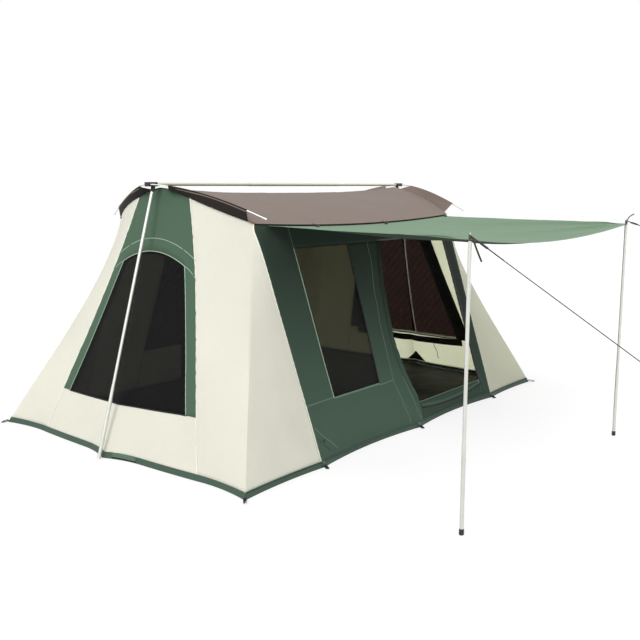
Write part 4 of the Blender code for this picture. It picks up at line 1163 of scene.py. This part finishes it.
header_left = window_left(window_head)
header_right = door_right(DOOR_HEAD_HEIGHT)
FRONT_PANELS = {
    "front_left_panel": (near_seam, window_left, HEM_HEIGHT, under_roof(-SIDE_SEAM_TOP_X, header_left)),
    "front_window_sill": (window_left, window_right, HEM_HEIGHT, window_foot),
    "front_header": (window_left, door_right, window_head, under_roof(header_left, header_right)),
    "front_mid_panel": (window_right, door_left, HEM_HEIGHT, DOOR_HEAD_HEIGHT),
    "front_door_sill": (door_left, door_right, HEM_HEIGHT, DOOR_SILL_HEIGHT),
    "front_right_panel": (door_right, far_seam, HEM_HEIGHT, under_roof(header_right, SIDE_SEAM_TOP_X)),
}
PANEL_GREENS = {"front_right_panel": SHADED_SIDE_GREEN, "front_door_sill": SILL_GREEN}
for name, (left, right, bottom, top) in FRONT_PANELS.items():
    panel(name, FRONT, (left, right), (bottom, top), (PANEL_GREENS.get(name, SHADED_FRONT_GREEN),), "green_canvas")
panel(
    "front_window_screen", FRONT, (window_left, window_right), WINDOW_HEIGHTS, (MESH_FRONT,), "black_mesh",
    MESH_THICKNESS, MESH_SLACK,
)
panel("back_sill", 1, (back_left, back_right), (HEM_HEIGHT, back_foot), LIT_CREAM, "cream_canvas")
panel(
    "back_screen", 1, (back_left, back_right), BACK_WINDOW_HEIGHTS, SHADED_MESH, "black_mesh",
    MESH_THICKNESS, MESH_SLACK,
)


def back_frame_place(u, v):
    if abs(u) > 1:
        side = 1 if u > 0 else -1
        share = 2 - abs(u)
        inner_x = side * BACK_WINDOW_HALF_WIDTH
        inner_z = lerp(WALL_FOOT, back_head, share)
        outer_z = lerp(WALL_FOOT, side_top(SIDE_SEAM_TOP_X), share)
        outer_x = side * seam_line(outer_z, side)
    else:
        inner_x = u * BACK_WINDOW_HALF_WIDTH
        outer_x = u * SIDE_SEAM_TOP_X
        inner_z = back_head
        outer_z = side_top(outer_x)
    return side_cloth(1, lerp(inner_x, outer_x, v), lerp(inner_z, outer_z, v))


back_legs = spread(-2, -1, 60)
back_us = back_legs + spread(-1.0, 1.0, 90)[1:-1] + [-u for u in reversed(back_legs)]
cloth_piece(
    "back_frame_cloth", back_frame_place, back_us, even(20), LIT_CREAM, "cream_canvas", (0, 1, 0), (0, 2),
    ("back_frame",),
)

# Hems with their stake tabs

HEM_FOOT = 0.0012
HEM_TOP = HEM_HEIGHT - 0.001
HEM_LIFT = 0.0012
HEM_WAVE = 0.0012
HEM_ROLL = 0.0014
HEM_SIDE_OVERLAP = 0.0008
HEM_END_INSET = 0.002
HEM_FACE_LIFT = 0.0028
HEM_SEAM_DROP = 0.007
TAB_LENGTH = 0.062
TAB_WIDTH = 0.023
TAB_RISE = 0.014
STAKE_RING_RISE = 0.0085
UP = Vector((0, 0, 1))


def hem_proud(a, z, v, seed):
    """How far a hem stands off its wall: a rolled top edge, and a waviness that grows downward."""
    bulge = HEM_ROLL * exp(-(((z - HEM_TOP + 0.006) / 0.005) ** 2))
    return HEM_LIFT + bulge + HEM_WAVE * wander(a, z, seed, 0.06) * (1 - v)


def side_hem_place(side, u, v):
    z = lerp(HEM_FOOT, HEM_TOP, v)
    x = lerp(-1.0, 1.0, u) * (crease(z)[0] + HEM_SIDE_OVERLAP)
    return side_point(side, x, z) + SIDE_NORMALS[side] * hem_proud(x, z, v, 14.0 + side)


def end_hem_place(end, u, v):
    z = lerp(HEM_FOOT, HEM_TOP, v)
    y = u * (crease(z)[1] - HEM_END_INSET)
    return end_point(end, y, z) + END_NORMALS[end] * hem_proud(y, z, v, 17.0 + end)


def side_hem_face(side, x, z):
    return side_point(side, x, z) + SIDE_NORMALS[side] * HEM_FACE_LIFT


def end_hem_face(end, y, z):
    return end_point(end, y, z) + END_NORMALS[end] * HEM_FACE_LIFT


def stake_tab(spot, outward):
    """A black webbing loop that reaches out from the hem; returns its tip."""
    out = Vector(outward).normalized()
    start = Vector((spot[0], spot[1], 0.0)) - out * 0.004
    across = out.cross(UP)
    points = []
    for share in even(24):
        turn = 2 * pi * share - 0.5 * pi
        way = 0.5 * (1 + sin(turn))
        half_gap = 0.5 * TAB_RISE * cos(turn) * (1 - 0.45 * way)
        points.append(start + out * TAB_LENGTH * way + UP * (TAB_RISE * (1.25 - 0.75 * way) + half_gap))
    normals = [
        (after - before).cross(across).normalized()
        for before, after in zip([points[0]] + points[:-1], points[1:] + [points[-1]])
    ]
    add_strip("stake_loops", points, normals, TAB_WIDTH, 0.0012, 0.0)
    return start + out * TAB_LENGTH


def hem_piece(name, place, us, outward, axes):
    cloth_piece(
        name + "_hem_cloth", place, us, even(8), (HEM,), "hem_vinyl", outward, axes, (name + "_hem",),
    )


stake_rings = []
for side_name, side in SIDES.items():
    hem_piece(side_name, partial(side_hem_place, side), even(200), (0, side, 0), (0, 2))
    hem_face = partial(side_hem_face, side)
    for x in STAKE_XS:
        corner = int(x / HALF_LENGTH)
        outward = (corner or -0.45, side if side == FRONT or not corner else 0.30, 0)
        tip = stake_tab((x, side * side_y(x, 0.0)), outward)
        if corner:
            stake_rings.append(ring_piece(
                "stake_ring_" + str(len(stake_rings)), tip + UP * STAKE_RING_RISE, (0.5 * corner, 0.4, 0.8),
                0.0100, 0.0022, STEEL, "galvanised_steel",
            ))
        else:
            tape("hem_tabs", hem_face, along_z(upright_edge(x), 0.006, HEM_TOP - 0.002, 10), 0.024, 0.0012)
    line = along_x(-HALF_LENGTH + 0.02, HALF_LENGTH - 0.02, HEM_TOP - HEM_SEAM_DROP, 160)
    tape("hem_seams", hem_face, line, 0.008, 0.0009)
for end_name, end in ENDS.items():
    hem_piece(end_name, partial(end_hem_place, end), wide, (end, 0, 0), (1, 2))

# The flap and strap that hold the near upright's foot

FOOT_FLAP_START = (-0.075, 0.027)
FOOT_FLAP_END = (-0.300, 0.024)
FOOT_FLAP_WIDTH = 0.042
STRAP_DROP = 0.016
foot_flap = straight(FOOT_FLAP_START, FOOT_FLAP_END, 24)
flap_widths = [FOOT_FLAP_WIDTH * sqrt(clamp01(4 * min(share + 0.1, 1.004 - share))) for share in even(24)]
near_hem_face = partial(end_hem_face, ENDS["near"])
tape("hem_tabs", near_hem_face, foot_flap, flap_widths, 0.0030)
tape("black_tapes", near_hem_face, [(y, z - STRAP_DROP) for y, z in foot_flap], 0.010, 0.0044)

# Floor

FLOOR_INSET = 0.0036
FLOOR_LIFT = 0.0014
CREASE_RISE = 0.016
CREASE_SHARE = 0.42


def floor_place(u, v):
    x = lerp(-1, 1, u)
    y = lerp(-1, 1, v)
    reach_x = end_x(y * HALF_WIDTH, 0.0) - FLOOR_INSET
    reach_y = side_y(x * HALF_LENGTH, 0.0) - FLOOR_INSET
    place = Vector((x * reach_x, y * reach_y, 0))
    fold = abs(wander(place.x, place.y, 21.0, 0.35)) + 0.5 * abs(wander(place.y, place.x, 27.0, 0.13))
    calm = smooth((1 - abs(x)) / 0.04) * smooth((1 - abs(y)) / 0.05)
    place.z = FLOOR_LIFT + CREASE_RISE * calm * max(0.0, CREASE_SHARE - fold) ** 1.5
    return place


cloth_piece(
    "floor_cloth", floor_place, even(170), even(120), (FLOOR,), "floor_vinyl", (0, 0, 1), (0, 1),
    ("floor",), thickness=0.0012,
)

# Roof

ROOF_SWELL = 0.004
ROOF_RIPPLE = 0.0015
ROOF_SEAM_PLACE = (0.998, 0.985)


def roof_cloth_place(s, r):
    point = roof_point(s, r)
    calm = smooth((1 - abs(s)) / 0.10) * smooth((1 - abs(r)) / 0.12)
    swell = ROOF_SWELL * wander(s * 1.4, r, 31.0, 0.30) + ROOF_RIPPLE * wander(s * 1.4, r, 33.0, 0.09)
    point.z += calm * swell
    return point


roof_us = spread(-1, 1, 110)
cloth_piece(
    "roof_cloth", roof_cloth_place, roof_us, spread(-1, 1, 76), (TAUPE, BROWN), "taupe_canvas", (0, 0, 1),
    (0, 1), ("roof",),
)
for side in SIDES.values():
    edge = [(s * ROOF_SEAM_PLACE[0], side * ROOF_SEAM_PLACE[1]) for s in roof_us]
    tape("roof_seams", roof_cloth_place, edge, 0.016, 0.0010, lift=0.0009)

# Visors, each sewn to the roof's end and wrapped round its rod

SLEEVE = 0.0063
SLEEVE_STEPS = 12
SLEEVE_TURN = radians(330)
SLEEVE_SEAM_BACK = 0.0005
TANGENT_STEP = 0.005
VISOR_SAG = 0.006
VISOR_SEAM = [(share, 0.90) for share in even(40)]


def visor_place(end, side, u, v):
    """From the roof's edge (v = 0) to the rod (v = 1), then round the rod (v up to 2)."""
    root_y = lerp(VISOR_NOTCH_ROOF_Y, VISOR_END_Y, u)
    root = roof_point(end, side * root_y / eave_y(1.0))
    rod_y = side * lerp(VISOR_NOTCH_ROD_Y, VISOR_END_Y, u)
    rod = rod_point(end, rod_y)
    tangent = (rod_point(end, rod_y + TANGENT_STEP) - rod).normalized()
    reach = (rod - root).normalized()
    across = (reach - tangent * reach.dot(tangent)).normalized()
    up = tangent.cross(across)
    if up.dot(Vector((-end, 0, 1))) < 0:
        up.negate()
    wrap = up * end
    if v <= 1:
        sag = VISOR_SAG * 16 * u * (1 - u) * v * (1 - v)
        sag *= 1 + wander(u, v, 40.0 + end + 2 * side, 0.25)
        return root.lerp(rod + wrap * SLEEVE - across * SLEEVE_SEAM_BACK, v) - up * sag
    turn = (v - 1) * SLEEVE_TURN
    return rod + wrap * SLEEVE * cos(turn) + across * SLEEVE * sin(turn)


visor_vs = even(10) + spread(1, 2, SLEEVE_STEPS)[1:]
for end_name, end in ENDS.items():
    for side_name, side in SIDES.items():
        node_name = end_name + "_" + side_name + "_visor"
        place = partial(visor_place, end, side)
        cloth_piece(
            node_name + "_cloth", place, even(40), visor_vs, (TAUPE, BROWN), "taupe_canvas", (-end, 0, 1),
            (1, 0), (node_name,), thickness=0.0012,
        )
        tape("roof_seams", place, VISOR_SEAM, 0.008, 0.0008, lift=0.0007)

# Awning

EYE = 0.0046
FAN_DEPTH = 2.0
FAN_RISE = 0.010
FAN_START = 0.03
FAN_GROWTH = 0.25
FAN_FADE = 0.85
AWNING_SWELL = 0.006
AWNING_RIPPLE = 0.0016
awning_width = AWNING_POLE_XS["far"] - AWNING_POLE_XS["near"]
awning_depth = abs(AWNING_POLE_Y) - EAVE_HALF_WIDTH
over_a, over_b = AWNING_MARGIN / awning_width, AWNING_MARGIN / awning_depth
eye_a, eye_b = EYE / awning_width, EYE / awning_depth
awning_us = [-over_a, -eye_a, eye_a] + even(96)[1:-1] + [1 - eye_a, 1 + eye_a, 1 + over_a]
awning_vs = even(72)[:-1] + [1 - eye_b, 1 + eye_b, 1 + over_b]


def corner_fold(a, b, corner_a, seed):
    """Folds that fan out from a pole's corner across the sheet."""
    across = (a - corner_a) * awning_width
    along = (1 - b) * FAN_DEPTH
    distance = hypot(across, along)
    if distance < 0.02:
        return 0.0
    bearing = across / distance
    wave = sin(11 * bearing + seed) + 0.5 * sin(23 * bearing + 2 * seed)
    return FAN_RISE * wave * smooth((distance - FAN_START) / FAN_GROWTH) * exp(-distance / FAN_FADE)


def awning_cloth_place(u, b):
    """The sheet; beyond its side edges (u < 0 or u > 1) it narrows to nothing at the eave."""
    if u < 0:
        a = u * b
    elif u > 1:
        a = 1 + (u - 1) * b
    else:
        a = u
    point = awning_point(a, b)
    x, y = point.x, point.y
    relief = corner_fold(a, b, 0.0, 0.6) + corner_fold(a, b, 1.0, 2.2)
    relief += AWNING_SWELL * wander(x, 0.7 * y, 51.0, 0.45) + AWNING_RIPPLE * wander(x, y, 53.0, 0.10)
    point.z += smooth(b / 0.10) * smooth((1.0 - b) / 0.08) * relief
    return point


cloth_piece(
    "awning_cloth", awning_cloth_place, awning_us, awning_vs, (AWNING_GREEN, AWNING_UNDER), "awning_canvas",
    (0, 0, 1), (0, 1), ("awning",),
    holes=[(len(awning_vs) - 3, 1), (len(awning_vs) - 3, len(awning_us) - 3)],
)
down_awning = spread(0.01, 1.004, 90)
AWNING_SEAMS = [([(a, b) for b in down_awning], 0.022, 0.0012) for a in (0.004, 0.996)]
AWNING_SEAMS.append(([(a, 0.9985) for a in spread(-0.002, 1.002, 110)], 0.024, 0.0012))
AWNING_SEAMS += [([(a, b) for b in spread(0.01, 0.985, 90)], 0.012, 0.0007) for a in (1 / 3, 2 / 3)]
for path, width, rise in AWNING_SEAMS:
    tape("awning_seams", awning_cloth_place, path, width, rise, lift=0.0009)

# Eyelets at the spikes and the turns of rope lashed over them, as (rise, tilt)

EYELET_RADIUS = 0.0078
EYELET_WIRE = 0.0030
EYELET_RISE = 0.0006
LASHING_RADIUS = 0.0068
LASHING_WIRE = 0.0027
LASHINGS = ((0.0075, 0.20), (0.0125, -0.25), (0.0175, 0.15))
grommets = []
for name, x in AWNING_POLE_XS.items():
    grommets.append(ring_piece(
        "awning_grommet_" + name, (x, AWNING_POLE_Y, AWNING_HEIGHT + EYELET_RISE), UP, EYELET_RADIUS,
        EYELET_WIRE, BLACK_STEEL, "black_steel",
    ))
    for index, (rise, tilt) in enumerate(LASHINGS):
        grommets.append(ring_piece(
            "guy_lashing_" + name + "_" + str(index), (x, AWNING_POLE_Y, AWNING_HEIGHT + rise),
            (tilt, 0.1, 1), LASHING_RADIUS, LASHING_WIRE, ROPE, "guy_rope",
        ))

# Loose tails of the guy ropes beside the spikes, as (outward, upward) steps from the spike

TAIL_SET_OUT = 0.008
TAILS = {
    "near": (
        ((0.008, 0.012), (0.016, -0.012), (0.029, -0.046), (0.045, -0.084), (0.062, -0.122)), 0.0056, ROPE,
    ),
    "far": (
        ((0.000, 0.028), (0.007, 0.046), (0.020, 0.060), (0.036, 0.070), (0.053, 0.078)), 0.0042, RED_ROPE,
    ),
}
for name, (steps, radius, material) in TAILS.items():
    along = guy_frame(name)[1]
    out = Vector((along.x, along.y, 0)).normalized()
    spike = Vector((AWNING_POLE_XS[name], AWNING_POLE_Y - TAIL_SET_OUT, AWNING_HEIGHT))
    points = [spike + out * reach + UP * rise for reach, rise in steps]
    tail = rope_piece("guy_tail_" + name, points, radius)
    tail.data.materials.append(material)
    tuple(points[0])
    route_length(points)

# Rolled door, tied up under the eave

ROLL_TURNS = 10
ROLL_CORE = 0.005
ROLL_OUTER = 0.0345
ROLL_FACETS = 26
ROLL_START_ANGLE = 0.9
ROLL_UNEVEN = 0.0011
TIE_PINCH = 0.09
TIE_PINCH_REACH = 0.035
TIE_SHARE = 0.93
TIE_LIFT = 0.0012
ROLL_END_INSET = 0.004
ROLL_END_UNEVEN = 0.003
DOOR_FLAT = (1.37, 1.05)
roll_left = door_left(DOOR_HEAD_HEIGHT) + DOOR_ROLL_INSET
roll_right = header_right - DOOR_ROLL_INSET
roll_lean = lean(DOOR_ROLL_HEIGHT)
roll_seat = DOOR_ROLL_RADIUS * hypot(cos(SIDE_ANGLE), DOOR_ROLL_SQUASH * sin(SIDE_ANGLE)) + GAP
roll_y = side_y(0.0, DOOR_ROLL_HEIGHT) + (roll_seat + CLOTH / 2) / cos(SIDE_ANGLE)
ROLL_TIES = [lerp(roll_left, roll_right, share) + roll_lean for share in (0.12, 0.5, 0.88)]


def roll_place(u, v):
    x = lerp(roll_left + ROLL_END_INSET, roll_right - ROLL_END_INSET, v) + roll_lean
    turns = u * ROLL_TURNS
    radius = lerp(ROLL_CORE, ROLL_OUTER, u) + ROLL_UNEVEN * wander(x, turns, 61.0, 0.12) * u
    pinches = sum(exp(-(((x - tie) / TIE_PINCH_REACH) ** 2)) for tie in ROLL_TIES)
    radius *= 1 - TIE_PINCH * u * pinches
    angle = 2 * pi * turns + ROLL_START_ANGLE
    y = FRONT * roll_y + radius * cos(angle)
    z = DOOR_ROLL_HEIGHT + DOOR_ROLL_SQUASH * radius * sin(angle)
    shift = ROLL_END_UNEVEN * wander(u, v, 63.0, 0.3) * smooth(min(v, 1 - v) / 0.1)
    return Vector((x + shift, y, z))


cloth_piece(
    "door_roll_cloth", roll_place, even(ROLL_TURNS * ROLL_FACETS), even(36), (SHADED_FRONT_GREEN,), "green_canvas",
    (0, -1, 0.2), lambda u, v, p: (u * DOOR_FLAT[0], v * DOOR_FLAT[1]), ("front_door_roll",),
    thickness=0.0012,
)
tie_turns = [2 * pi * share - 0.4 for share in even(30)]
tie_reach = ROLL_OUTER * TIE_SHARE + TIE_LIFT
tie_normals = [Vector((0, cos(t), sin(t) / DOOR_ROLL_SQUASH)).normalized() for t in tie_turns]
tie_loop = [Vector((0, tie_reach * cos(t), DOOR_ROLL_SQUASH * tie_reach * sin(t))) for t in tie_turns]
for tie in ROLL_TIES:
    middle = Vector((tie, FRONT * roll_y, DOOR_ROLL_HEIGHT))
    add_strip("black_tapes", [middle + step for step in tie_loop], tie_normals, 0.020, 0.0010, 0.0)

# Seams, bindings and zips on the front wall

DOOR_SEAM = (
    (1.56, -0.075), (1.45, -0.08), (1.10, -0.155), (0.84, -0.190),
    (0.43, -0.200), (0.24, -0.150), (0.06, -0.100),
)
LEFT_SEAM_HEIGHT = 0.435
MID_SEAM_HEIGHTS = (0.424, 0.426)
SEAM_END = 0.004
front = partial(side_cloth, FRONT)
back = partial(side_cloth, 1)


def down_seam(x_at, low=WALL_FOOT + SEAM_END, high=None, count=70):
    top = high if high is not None else side_top(x_at(EAVE_CORNER_HEIGHT)) - SEAM_END
    return along_z(x_at, low, top, count)


def door_seam(z):
    """The curved seam beside the door, eased between the places in DOOR_SEAM."""
    for (z_high, x_high), (z_low, x_low) in zip(DOOR_SEAM, DOOR_SEAM[1:]):
        if z >= z_low:
            return lerp(x_low, x_high, smooth((z - z_low) / (z_high - z_low)))
    return DOOR_SEAM[-1][1]


tape("cream_seams", front, down_seam(lambda z: near_seam(z) - 0.002), 0.006)
tape("cream_seams", front, down_seam(lambda z: far_seam(z) + 0.002), 0.006)
tape("pale_bindings", front, down_seam(window_left, window_foot, window_head), 0.0075, 0.0013)
tape("green_seams", front, down_seam(window_left, window_head, side_top(-1.0) - SEAM_END, 12), 0.006)
tape("black_tapes", front, down_seam(window_right, window_foot, window_head), 0.014)
for edge in (window_left, window_right):
    join = down_seam(edge, WALL_FOOT + 0.002, window_foot - 0.002)
    tape("front_joins", front, join, 0.046, 0.0008, profile=FLUSH_PROFILE)
foot_left, foot_right = window_left(window_foot), window_right(window_foot)
left_start = near_seam(LEFT_SEAM_HEIGHT) + SEAM_END
left_seam = along_x(left_start, foot_left, lambda s: LEFT_SEAM_HEIGHT + 0.005 * s)
mid_seam = along_x(foot_right, door_seam(0.43), lambda s: lerp(*MID_SEAM_HEIGHTS, s))
tape("green_seams", front, along_x(foot_left, foot_right, window_foot - 0.004), 0.014)
tape("green_seams", front, left_seam, 0.009)
tape("black_tapes", front, along_x(window_left(window_head), window_right(window_head), window_head), 0.012)
tape("green_seams", front, along_z(door_seam, WALL_FOOT + SEAM_END, 1.555, 80), 0.008)
tape("green_seams", front, straight((-0.058, 0.430), (0.058, 0.058), 50), 0.008)
tape("green_seams", front, mid_seam, 0.009)
tape("green_seams", front, straight((-1.307, 0.275), (-1.100, 0.090), 40), 0.008)
tape("hem_seams", front, straight((-1.306, 0.205), (-1.188, 0.090), 30), 0.007)
patch_eye = front(-1.231, 0.170) + SIDE_NORMALS[FRONT] * 0.0026
eye_ring = ring_piece(
    "patch_eye", patch_eye, SIDE_NORMALS[FRONT], 0.0085, 0.0035, BLACK_STEEL, "black_steel",
)

# Door: a black zip tape all round, the sill's zips, and the curved storm flap along the left edge

SILL_ZIP_HEIGHTS = (0.142, 0.155)
SILL_ZIP_BOW = 0.036
FLAP_WIDTH = 0.036
FLAP_TIP_HEIGHT = 0.140
FLAP_TIP_WIDTH = 0.0015
FLAP_SET_LEFT = 0.012
FLAP_LIFT = 0.0042
FLAP_CURL = 0.010
FLAP_LENGTH = 1.52


def sill_zip(share):
    return lerp(*SILL_ZIP_HEIGHTS, share) - SILL_ZIP_BOW * 4 * share * (1 - share)


def sill_join(share):
    return sill_zip(share) + 0.020


left_zip = [(door_left(z) + 0.006, z) for z in spread(DOOR_SILL_HEIGHT, DOOR_HEAD_HEIGHT, 110)]
right_zip = [(door_right(z) - 0.002, z) for z in spread(DOOR_SILL_HEIGHT, DOOR_HEAD_HEIGHT, 90)]
tape("black_tapes", front, left_zip, 0.020, 0.0011)
tape("black_tapes", front, right_zip, 0.042, 0.0011)
sill_left, sill_right = door_left(DOOR_SILL_HEIGHT), door_right(DOOR_SILL_HEIGHT)
SILL_TAPES = (
    ("green_seams", 0.0, DOOR_SILL_HEIGHT + 0.002, 0.008, 0.0014),
    ("black_tapes", 0.01, DOOR_SILL_HEIGHT - 0.006, 0.005, 0.0016),
    ("front_joins", 0.02, sill_join, 0.024, 0.0016),
    ("black_tapes", 0.02, sill_zip, 0.019, 0.0018),
)
for key, inset, height, width, rise in SILL_TAPES:
    tape(key, front, along_x(sill_left + inset, sill_right, height, 120), width, rise)
tape("black_tapes", front, along_z(upright_edge(sill_right - 0.004), 0.150, 0.215, 12), 0.020, 0.0034)
head_seam = along_x(door_left(DOOR_HEAD_HEIGHT), header_right, DOOR_HEAD_HEIGHT + 0.006, 90)
tape("green_seams", front, head_seam, 0.012)


def flap_place(u, v):
    z = lerp(FLAP_TIP_HEIGHT, DOOR_HEAD_HEIGHT, v)
    width = FLAP_WIDTH * smooth(v / 0.10) + FLAP_TIP_WIDTH
    root = door_left(max(z, DOOR_SILL_HEIGHT)) + 0.9 * max(0.0, DOOR_SILL_HEIGHT - z) - FLAP_SET_LEFT
    x = root + u * width
    lift = FLAP_LIFT + FLAP_CURL * u * u * (1 + wander(x, z, 71.0, 0.07)) * smooth(v / 0.08)
    return side_cloth(FRONT, x, z, lift)


cloth_piece(
    "door_flap_cloth", flap_place, even(8), even(110), (SHADED_FRONT_GREEN,), "green_canvas", (0, -1, 0),
    lambda u, v, p: (u * FLAP_WIDTH, v * FLAP_LENGTH),
    thickness=0.0014,
)

# Seams and tapes on the back wall

for edge in (back_left, back_right):
    tape("black_tapes", back, down_seam(edge, back_foot, back_head), 0.016)
    tape("cream_seams", back, down_seam(edge, high=back_foot), 0.011)
for height in (back_foot, back_head):
    tape("black_tapes", back, along_x(-BACK_WINDOW_HALF_WIDTH, BACK_WINDOW_HALF_WIDTH, height), 0.016)
for edge in (near_seam, far_seam):
    tape("cream_seams", back, down_seam(edge), 0.012)

# Toggles that hold the awning to the eave

TOGGLE_XS = (-0.736, 0.221, 1.300)
TOGGLE_RADIUS = 0.0078
TOGGLE_STRETCH = 3.1
TOGGLE_SEAT = Vector((0, -0.002, 0.0088))
TOGGLE_SEAT_B = 0.028
CORD_RADIUS = 0.0016
CORD_START = Vector((0, -0.003, 0.004))
CORD_BOW = Vector((0.006, -0.004, 0.0))


def bridge(faces, below, above, sides):
    """Joins two rings of points, given the index that each starts at."""
    for k in range(sides):
        j = (k + 1) % sides
        faces.append((below + k, below + j, above + j, above + k))


def ball_piece(name, centre, radius, stretch, material, slot_name, sides=16):
    """A turned bead with rounded ends."""
    verts, faces = [], []
    for row in range(sides // 2 + 1):
        polar = pi * row / (sides // 2)
        girth = radius * sin(polar) ** 0.7
        for k in range(sides):
            angle = 2 * pi * k / sides
            place = Vector((stretch * radius * cos(polar), girth * cos(angle), girth * sin(angle)))
            verts.append(Vector(centre) + place)
    for row in range(sides // 2):
        bridge(faces, row * sides, (row + 1) * sides, sides)
    return mesh_piece(name, verts, faces, small_uvs(verts, sides), (material,), slot_name)


toggle_cords = []
for index, x in enumerate(TOGGLE_XS):
    a = min((x - AWNING_INNER_XS[0]) / (AWNING_INNER_XS[1] - AWNING_INNER_XS[0]), 0.985)
    seat = awning_cloth_place(a, TOGGLE_SEAT_B) + TOGGLE_SEAT
    ball_piece(
        "awning_toggle_" + str(index), seat, TOGGLE_RADIUS, TOGGLE_STRETCH, PLASTIC, "slider_plastic",
    )
    eave = roof_point(min(0.97, x / EAVE_CORNER_X), -0.985) + CORD_START
    points = [eave.lerp(seat, share) + CORD_BOW * sin(pi * share) for share in even(8)]
    cord = rope_piece("toggle_cord_" + str(index), points, CORD_RADIUS)
    cord.data.materials.append(ROPE)
    toggle_cords.append(cord)

# Black feet on the awning poles, as (radius, height) points


def collar_piece(name, centre, profile, material, slot_name, body, sides=28):
    """A round collar: a closed outline turned about the upright line at centre."""
    turns = [2 * pi * k / sides for k in range(sides)]
    verts = [
        Vector(centre) + Vector((radius * cos(t), radius * sin(t), height))
        for radius, height in profile for t in turns
    ]
    faces = []
    for row in range(len(profile)):
        bridge(faces, row * sides, (row + 1) % len(profile) * sides, sides)
    return mesh_piece(name, verts, faces, small_uvs(verts, sides, 0.002), (material,), slot_name, body)


FOOT_CAP = (
    (0.01275, 0.0004), (0.0140, 0.0004), (0.0150, 0.0014), (0.0154, 0.0040),
    (0.0151, 0.0340), (0.0146, 0.0365), (0.0136, 0.0375), (0.01275, 0.0375),
)
for name, x in AWNING_POLE_XS.items():
    collar_piece(
        "awning_foot_cap_" + name, (x, AWNING_POLE_Y, 0.0), FOOT_CAP, PLASTIC, "slider_plastic",
        "awning_pole_" + name + "_lower_body",
    )

# Tapes become one piece for each material

TAPES = {
    "cream_seams": (CREAM_SEAM, "cream_canvas", "near_front_corner_cloth"),
    "green_seams": (GREEN_SEAM, "green_canvas", "front_mid_panel_cloth"),
    "front_joins": (SHADED_FRONT_GREEN, "green_canvas", "front_mid_panel_cloth"),
    "pale_bindings": (PALE_BINDING, "green_canvas", "near_end_frame_cloth"),
    "pale_tapes": (CREAM_SEAM, "cream_canvas", "far_end_sill_cloth"),
    "black_tapes": (BLACK_TAPE, "black_mesh", "front_right_panel_cloth"),
    "roof_seams": (TAUPE_SEAM, "taupe_canvas", "roof_cloth"),
    "awning_seams": (AWNING_SEAM, "awning_canvas", "awning_cloth"),
    "hem_seams": (HEM_SEAM, "hem_vinyl", "front_hem_cloth"),
    "hem_tabs": (HEM_TAB, "hem_vinyl", "front_hem_cloth"),
    "stake_loops": (BLACK_TAPE, "hem_vinyl", "front_hem_cloth"),
}
with_sheets = {}
for key, (verts, faces, uvs) in tapes.items():
    material, slot_name, sheet_name = TAPES[key]
    piece = mesh_piece(key, verts, faces, uvs, (material,), slot_name)
    with_sheets.setdefault(sheet_name, []).append(piece)
with_sheets.setdefault("awning_cloth", []).extend(grommets + toggle_cords)
with_sheets.setdefault("front_hem_cloth", []).extend(stake_rings)
with_sheets.setdefault("front_mid_panel_cloth", []).append(eye_ring)

# Studio: a pale floor that is white to the camera, soft light from the near end

WHITE_LEVEL = 1.0
AMBIENT = 0.72
FLOOR_REACH = 30.0
FLOOR_DROP = 0.002
FLOOR_GREY = (0.80, 0.80, 0.80, 1)
FLOOR_SHOWN_GREY = (0.30, 0.30, 0.30, 1)
FLOOR_GLOW = 0.72
world = bpy.data.worlds.new("studio")
bpy.context.scene.world = world
world.use_nodes = True
tree = world.node_tree
background = tree.nodes["Background"].inputs
rays = node(tree, "ShaderNodeLightPath").outputs
seen = math_node(tree, "MAXIMUM", rays["Is Camera Ray"], rays["Is Glossy Ray"])
seen = math_node(tree, "MAXIMUM", seen, rays["Is Transmission Ray"])
tree.links.new(times_plus(tree, seen, WHITE_LEVEL - AMBIENT, AMBIENT), background["Strength"])
background["Color"].default_value = (1, 1, 1, 1)

corners = [
    (x * FLOOR_REACH, y * FLOOR_REACH, -FLOOR_DROP) for x, y in ((-1, -1), (1, -1), (1, 1), (-1, 1))
]
floor_mesh = bpy.data.meshes.new("studio_floor")
floor_mesh.from_pydata(corners, [], [(0, 1, 2, 3)])
studio_floor = link("studio_floor", floor_mesh)
ground = bpy.data.materials.new("studio_white")
ground.use_nodes = True
tree = ground.node_tree
tree.nodes.remove(tree.nodes["Principled BSDF"])
camera_ray = node(tree, "ShaderNodeLightPath").outputs["Is Camera Ray"]
plain = node(tree, "ShaderNodeBsdfDiffuse", {"Color": FLOOR_GREY})
shown = node(tree, "ShaderNodeBsdfDiffuse", {"Color": FLOOR_SHOWN_GREY})
glow = node(tree, "ShaderNodeEmission", {"Color": (1, 1, 1, 1), "Strength": FLOOR_GLOW})
lit = node(tree, "ShaderNodeAddShader", {0: shown.outputs[0], 1: glow.outputs[0]})
mixed = node(tree, "ShaderNodeMixShader", {0: camera_ray, 1: plain.outputs[0], 2: lit.outputs[0]})
tree.links.new(mixed.outputs[0], tree.nodes["Material Output"].inputs["Surface"])
floor_mesh.materials.append(ground)


def sun(name, direction, energy, angle):
    light = bpy.data.lights.new(name, "SUN")
    light.energy = energy
    light.angle = radians(angle)
    lamp = link(name, light)
    lamp.matrix_world = Vector(direction).to_track_quat("Z", "Y").to_matrix().to_4x4()


sun("key", (-0.74, -0.24, 0.64), 1.78, 30)
sun("fill", (0.85, -0.12, 0.47), 1.15, 60)
bpy.context.scene.view_settings.view_transform = "Standard"
